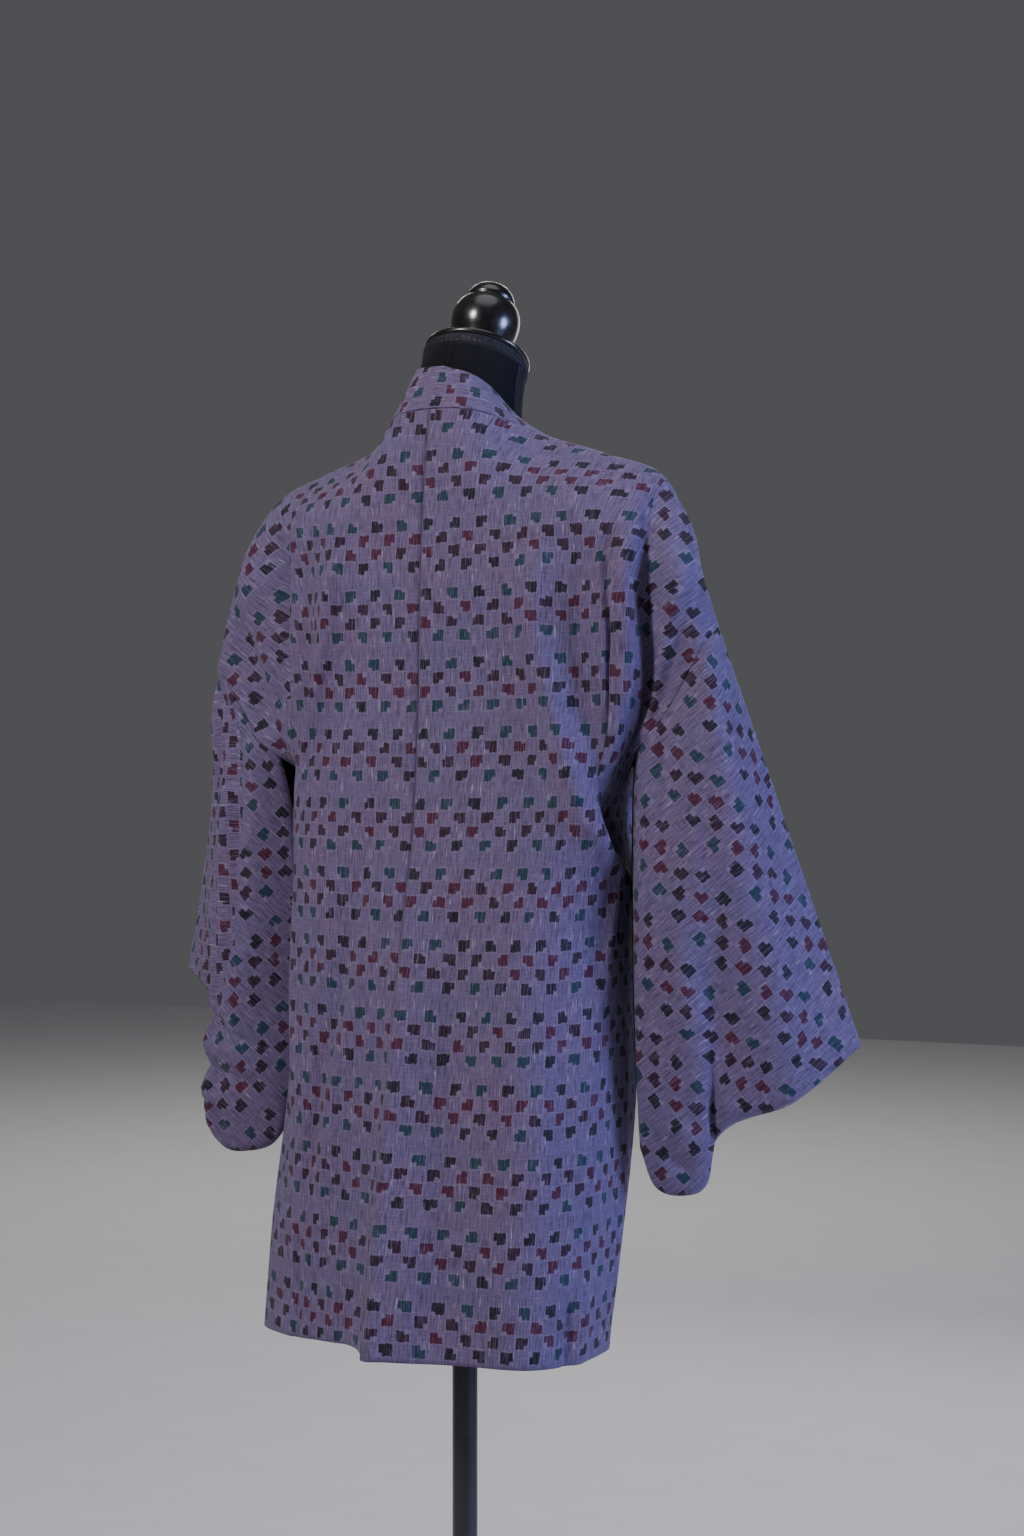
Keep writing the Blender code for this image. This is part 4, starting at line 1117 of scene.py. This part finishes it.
def lining_silk(settings):
    """Plain teal lining silk: a very fine weave, crushed a little, with a soft gloss."""
    made = Recipe("lining_silk")
    weft, warp = cloth_place(made)
    crush = made.noise(made.join(weft, warp), 45.0, 3.0)
    shade = made.noise(made.join(weft, warp * 0.2), 260.0, 2.0)
    colour = made.mix(shade.step(0.35, 0.7, 0.0, 0.55), settings.lining, tinted(settings.lining, 1.7))
    normal = made.bump(warp.ribs(SILK_PITCH), 0.00006, 0.4, made.bump(crush, 0.0012, 0.4))
    return made.finish(colour, crush.step(0.3, 0.7, 0.34, 0.48), normal, Sheen_Weight=0.1)


def form_jersey(settings):
    """Black jersey pulled over the form: fine upright ribs, lint, and seams down its panels."""
    made = Recipe("form_jersey")
    at = made.place()
    x, _, z = made.split(at)
    lint = made.noise(at, 420.0, 3.0, 0.7)
    pile = made.noise(at, 1500.0, 2.0)
    middle, left, right = (abs(x - (place + (z - 1.0) * (place * SEAM_SPREAD))).step(0.0006, 0.0022, 1.0, 0.0)
                           for place in FORM_SEAMS)
    seam = middle.at_least(left).at_least(right)
    colour = made.mix(lint.step(0.58, 0.75, 0.0, 0.5), settings.jersey, tinted(settings.jersey, 4.0))
    height = x.ribs(JERSEY_PITCH) * 0.25 + (pile + seam * -6.0)
    return made.finish(colour, lint.step(0.3, 0.7, 0.82, 0.95), made.bump(height, 0.00018, 0.8),
                       Sheen_Weight=0.06, Sheen_Roughness=0.5, Specular_IOR_Level=0.15)


def plaited_braid(settings):
    """Dull rayon braid: small twisted cords whose crests are glossier, with a painted highlight that makes them
    paler.
    """
    made = Recipe("plaited_braid")
    at = made.place()
    cords = made.noise(at, 900.0, 2.0, 0.6)
    tufts = made.noise(at, 260.0, 2.0)
    # painted highlight: the raised crests of the cords are painted paler
    colour = made.mix(cords.step(0.4, 0.7, 0.0, 0.75), settings.braid, tinted(settings.braid, 3.2))
    colour = made.mix(tufts.step(0.45, 0.7, 0.0, 0.6), colour, tinted(settings.braid, 0.35))
    return made.finish(colour, tufts.step(0.3, 0.7, 0.5, 0.72), made.bump(cords, 0.0004, 0.8),
                       Sheen_Weight=0.02, Specular_IOR_Level=0.25)


def black_lacquer(settings):
    """Turned wood under black lacquer: a soft coat, a faint brown painted highlight on the crests, and handling
    marks.
    """
    made = Recipe("black_lacquer")
    at = made.place()
    x, y, z = made.split(at)
    rings = made.noise(made.join(x * 0.2, y * 0.2, z), 620.0, 2.0)
    marks = made.noise(at, 75.0, 4.0, 0.6)
    dust = made.noise(at, 700.0, 2.0).step(0.66, 0.74)
    # painted highlight: a paler brownish tint painted on the crests of the handling marks
    crest_highlight = tinted(settings.lacquer, 3.2, 2.0, 1.5)
    colour = made.mix(marks.step(0.45, 0.75, 0.0, 0.5), settings.lacquer, crest_highlight)
    rough = marks.step(0.35, 0.7, 0.24, 0.36) + dust * 0.12
    normal = made.bump(rings, 0.00006, 0.5, made.bump(marks, 0.0005, 0.12))
    return made.finish(colour, rough, normal, Coat_Weight=0.35, Coat_Roughness=0.2)


def painted_metal(settings):
    """Black paint on steel: fine orange peel, dust, and rubbed patches."""
    made = Recipe("painted_metal")
    at = made.place()
    peel = made.noise(at, 380.0, 2.0)
    rubs = made.noise(at, 24.0, 4.0, 0.6)
    dust = made.noise(at, 900.0, 2.0).step(0.62, 0.75)
    colour = made.mix(rubs.step(0.5, 0.75, 0.0, 0.5), settings.metal, tinted(settings.metal, 2.4))
    colour = made.mix(dust * 0.25, colour, (0.06, 0.06, 0.065))
    return made.finish(colour, rubs.step(0.3, 0.7, 0.2, 0.36), made.bump(peel, 0.00008, 0.35),
                       Coat_Weight=0.3, Coat_Roughness=0.15)


def finish_of(maker, settings):
    """The finish of the maker's name, made once."""
    return bpy.data.materials.get(maker.__name__) or maker(settings)


def cloth_finishes():
    """The outer cloth and the lining."""
    settings = bpy.context.scene.haori_cloth
    return finish_of(check_ikat, settings), finish_of(lining_silk, settings)


# ---------------------------------------------------------------------------------- operators
class MakeBodies(bpy.types.Operator):
    """Make both body panels, each cut in one piece from back hem over the shoulder to front hem"""

    bl_idname = "haori.make_bodies"
    bl_label = "Body panels"

    def execute(self, context):
        ikat, silk = cloth_finishes()
        for side, sign in SIDES.items():
            back, front, back_cloth, front_cloth = body_surface(side)
            right = side == "right"
            back_numbers, own = numbered(back), numbered(front)
            front_numbers = own + back_numbers.size - front.shape[1]
            front_numbers[0] = back_numbers[0, NECK_STEPS:]
            points = np.concatenate([back.reshape(-1, 3), front[1:].reshape(-1, 3)]) * [sign, 1, 1]
            quads = np.concatenate([grid_faces(back_numbers, right), grid_faces(front_numbers, not right)])
            cloth = np.concatenate([hanging_corners(side, back, back_cloth, right),
                                    front_cloth.reshape(-1, 2)[grid_faces(own, not right)]]) * [sign, 1]
            piece = make_mesh(f"haori_body_{side}", points, quads, cloth)
            add_wall(piece, context.scene.haori_cloth.wall, inside=True)
            dress(piece, "haori_cloth", ikat, silk, node=f"body_{side}")
        return {"FINISHED"}


class MakeGussets(bpy.types.Operator):
    """Make the narrow panel at each side, from the underarm to the hem"""

    bl_idname = "haori.make_gussets"
    bl_label = "Side panels"

    def execute(self, context):
        ikat, silk = cloth_finishes()
        for side, sign in SIDES.items():
            grid, cloth = gusset_surface(side)
            piece = grid_piece(f"haori_side_panel_{side}", grid, cloth * [sign, 1], sign, side == "right")
            add_wall(piece, context.scene.haori_cloth.wall, inside=True)
            dress(piece, "haori_cloth", ikat, silk, node=f"gusset_{side}")
        return {"FINISHED"}


class MakeSleeves(bpy.types.Operator):
    """Make both sleeves with their open cuffs and sewn bags, and the lining just inside each cuff"""

    bl_idname = "haori.make_sleeves"
    bl_label = "Sleeves and cuff linings"

    def execute(self, context):
        ikat, silk = cloth_finishes()
        for side, sign in SIDES.items():
            grid, (turned, strip), shares = sleeve_surface(side)
            count = grid.shape[1]
            steps = np.arange(count)
            own = numbered(grid)
            sewn = steps[(shares <= RIM_SEWN) & (steps > count // 2)]
            numbers = own.copy()
            numbers[-1, sewn] = numbers[-1, count - 1 - sewn]
            corners = grid_faces(own, side == "right")
            outer = (grid[..., 0] > line_at(STRIP_FROM[side], grid[..., 2]))[:-1, :-1].reshape(-1, 1, 1)
            cloth = np.where(outer, strip.reshape(-1, 2)[corners], turned.reshape(-1, 2)[corners])
            used, quads = np.unique(grid_faces(numbers, side == "right"), return_inverse=True)
            points = from_sleeve(grid).reshape(-1, 3)[used] * [sign, 1, 1]
            piece = make_mesh(f"haori_sleeve_{side}", points, quads.reshape(-1, 4), cloth * [sign, 1])
            add_wall(piece, context.scene.haori_cloth.wall, inside=True)
            dress(piece, "haori_cloth", ikat, silk, node=f"sleeve_{side}")
            self.make_lining(side, sign, grid, turned, shares, silk)
        return {"FINISHED"}

    def make_lining(self, side, sign, grid, cloth, shares, silk):
        """A band of lining just inside the cuff: the sleeve's own points, moved in along its normals."""
        rows = slice(int(SLEEVE_STEPS * LINING_FROM), SLEEVE_STEPS)
        keep = shares > LINING_SHARE
        inner = (grid - surface_normals(grid) * LINING_INSET)[rows][:, keep]
        piece = grid_piece(f"cuff_lining_silk_{side}", from_sleeve(inner), cloth[rows][:, keep], sign,
                           side == "right")
        add_wall(piece, LINING_WALL, offset=-1.0)
        dress(piece, "lining", silk, node=f"cuff_lining_{side}")


class MakeCollar(bpy.types.Operator):
    """Make the folded collar band, from one front hem round the neck to the other"""

    bl_idname = "haori.make_collar"
    bl_label = "Collar"

    def execute(self, context):
        ikat, _ = cloth_finishes()
        grid, cloth = collar_surface()
        piece = grid_piece("haori_collar", grid, cloth)
        add_wall(piece, context.scene.haori_cloth.collar_wall, offset=0.0)
        bevel = piece.modifiers.new("folded edge", "BEVEL")
        bevel.width, bevel.segments, bevel.limit_method = FOLD_ROUND, 2, "ANGLE"
        bevel.angle_limit = math.radians(60)
        dress(piece, "haori_cloth", ikat, node="collar")
        return {"FINISHED"}


class MakeForm(bpy.types.Operator):
    """Make the limbless dress form with its neck and the narrow braid up each side of the neck"""

    bl_idname = "haori.make_form"
    bl_label = "Dress form"

    def execute(self, context):
        settings = context.scene.haori_stand
        points, quads, caps = join_rings(form_surface())
        piece = make_mesh("form_cover", points, quads, caps=caps)
        dress(piece, "form_cover", finish_of(form_jersey, settings), node="dress_form")
        for side in SIDES:
            trim = grid_piece(f"neck_side_braid_{side}", side_trim_surface(side, settings.braid_relief))
            dress(trim, "braid", finish_of(plaited_braid, settings))
        return {"FINISHED"}


class MakeHead(bpy.types.Operator):
    """Make the braid round the neck, the turned cap and the turned finial on the neck's tilted top"""

    bl_idname = "haori.make_head"
    bl_label = "Neck braid, cap and finial"

    def execute(self, context):
        settings = context.scene.haori_stand
        points, quads, caps = join_rings(braid_surface(settings.braid_relief))
        braid = make_mesh("neck_braid", seat_on_neck(points, SEAT_GAP), quads, caps=caps)
        dress(braid, "braid", finish_of(plaited_braid, settings), node="neck_trim")
        cap_foot = TRIM_HEIGHT + 2 * SEAT_GAP
        for name, outline, lift, node in (
                ("neck_cap_lacquered", CAP_OUTLINE, cap_foot, "neck_cap"),
                ("finial_lacquered", FINIAL_OUTLINE, cap_foot + CAP_HEIGHT + SEAT_GAP, "finial")):
            points, quads, fans = turned_piece(outline)
            piece = make_mesh(name, seat_on_neck(points, lift), quads, caps=fans)
            dress(piece, "lacquered_wood", finish_of(black_lacquer, settings), node=node)
        return {"FINISHED"}


class MakeStand(bpy.types.Operator):
    """Make the round base and the pole that carries the form"""

    bl_idname = "haori.make_stand"
    bl_label = "Pole and base"

    def execute(self, context):
        foot = BASE_HEIGHT + SEAT_GAP
        pole_height = FORM_RINGS[0][0] - SEAT_GAP - foot
        for name, outline, lift, node, sides in (
                ("stand_base", rounded_disc(BASE_RADIUS, BASE_HEIGHT, BASE_EDGE), 0.0, "base", BASE_SIDES),
                ("stand_pole", rounded_disc(POLE_RADIUS, pole_height, POLE_EDGE), foot, "pole", POLE_SIDES)):
            points, quads, fans = turned_piece(outline, sides)
            piece = make_mesh(name, points + [0, 0, lift], quads, caps=fans)
            dress(piece, "black_metal", finish_of(painted_metal, context.scene.haori_stand), node=node)
        return {"FINISHED"}


class MakeStage(bpy.types.Operator):
    """Make the plain floor, the soft lights and the camera"""

    bl_idname = "haori.make_stage"
    bl_label = "Floor, lights and camera"

    def execute(self, context):
        settings = context.scene.haori_stage
        line = np.linspace(-FLOOR_REACH, FLOOR_REACH, 5)
        x, y = np.meshgrid(line, line)
        floor = grid_piece("floor", np.stack([x, y, 0 * x], axis=-1))
        paint = Recipe("floor_paint")
        speck = paint.noise(paint.place(), 9.0, 3.0)
        colour = paint.mix(speck.step(0.3, 0.7), settings.floor, tinted(settings.floor, 0.97))
        floor.data.materials.append(paint.finish(colour, 0.9))

        world = bpy.data.worlds.new("studio")
        world.use_nodes = True
        for socket, value in zip(world.node_tree.nodes["Background"].inputs, (SKY_COLOUR, settings.sky)):
            socket.default_value = value
        context.scene.world = world
        for name, place, target, size, power, colour in LIGHTS:
            self.add_light(name, place, target, size, getattr(settings, power), colour)
        self.add_camera(context)
        return {"FINISHED"}

    def add_light(self, name, place, target, size, power, colour):
        """A round soft light at a place, turned to its target: tilted up from straight down by the
        angle of the way to it, then turned about the upright."""
        lamp = bpy.data.lights.new(name, "AREA")
        lamp.shape, lamp.size, lamp.energy, lamp.color = "DISK", size, power, colour
        made = bpy.data.objects.new(name, lamp)
        bpy.context.scene.collection.objects.link(made)
        made.location = place
        x, y, z = np.array(target) - np.array(place)
        made.rotation_euler = (math.atan2(math.hypot(x, y), -z), 0.0, math.atan2(-x, y))

    def add_camera(self, context):
        """The camera, level, turned round from straight behind the back to the wearer's right. Its lens
        and shift are the focal length and the shift in pixels, as shares of the image's height."""
        data = bpy.data.cameras.new("camera")
        data.sensor_width = SENSOR_WIDTH
        data.lens = SENSOR_WIDTH * FOCAL_LENGTH / IMAGE_HEIGHT
        data.shift_x, data.shift_y = (shift / IMAGE_HEIGHT for shift in IMAGE_SHIFT)
        data.dof.use_dof = False
        camera = bpy.data.objects.new("camera", data)
        context.scene.collection.objects.link(camera)
        x, y = -CAMERA_AWAY * math.sin(CAMERA_TURN), CAMERA_AWAY * math.cos(CAMERA_TURN)
        camera.location = (x, y, CAMERA_HEIGHT)
        camera.rotation_euler = (math.pi / 2, 0.0, math.pi + CAMERA_TURN)
        context.scene.camera = camera


class HaoriPanel(bpy.types.Panel):
    """Lists the haori's settings and the steps that build it"""

    bl_idname = "HAORI_PT_parts"
    bl_label = "Haori"
    bl_space_type = "VIEW_3D"
    bl_region_type = "UI"
    bl_category = "Haori"

    def draw(self, context):
        for group in SETTINGS:
            settings = getattr(context.scene, group)
            box = self.layout.box()
            for name in settings.__annotations__:
                box.prop(settings, name)
        for step in STEPS:
            self.layout.operator(step.bl_idname)


SETTINGS = {"haori_cloth": ClothSettings, "haori_stand": StandSettings, "haori_stage": StageSettings}
STEPS = (MakeBodies, MakeGussets, MakeSleeves, MakeCollar, MakeForm, MakeHead, MakeStand, MakeStage)
CLASSES = (*SETTINGS.values(), *STEPS, HaoriPanel)


def register():
    """Add every class, then each group of settings to the scene."""
    for made in CLASSES:
        bpy.utils.register_class(made)
    for name, settings in SETTINGS.items():
        setattr(bpy.types.Scene, name, PointerProperty(type=settings))


def unregister():
    """Take away what register added, last first."""
    for name in SETTINGS:
        delattr(bpy.types.Scene, name)
    for made in reversed(CLASSES):
        bpy.utils.unregister_class(made)


def main():
    register()
    for step in STEPS:
        group, name = step.bl_idname.split(".")
        getattr(getattr(bpy.ops, group), name)()


if __name__ == "__main__":
    main()
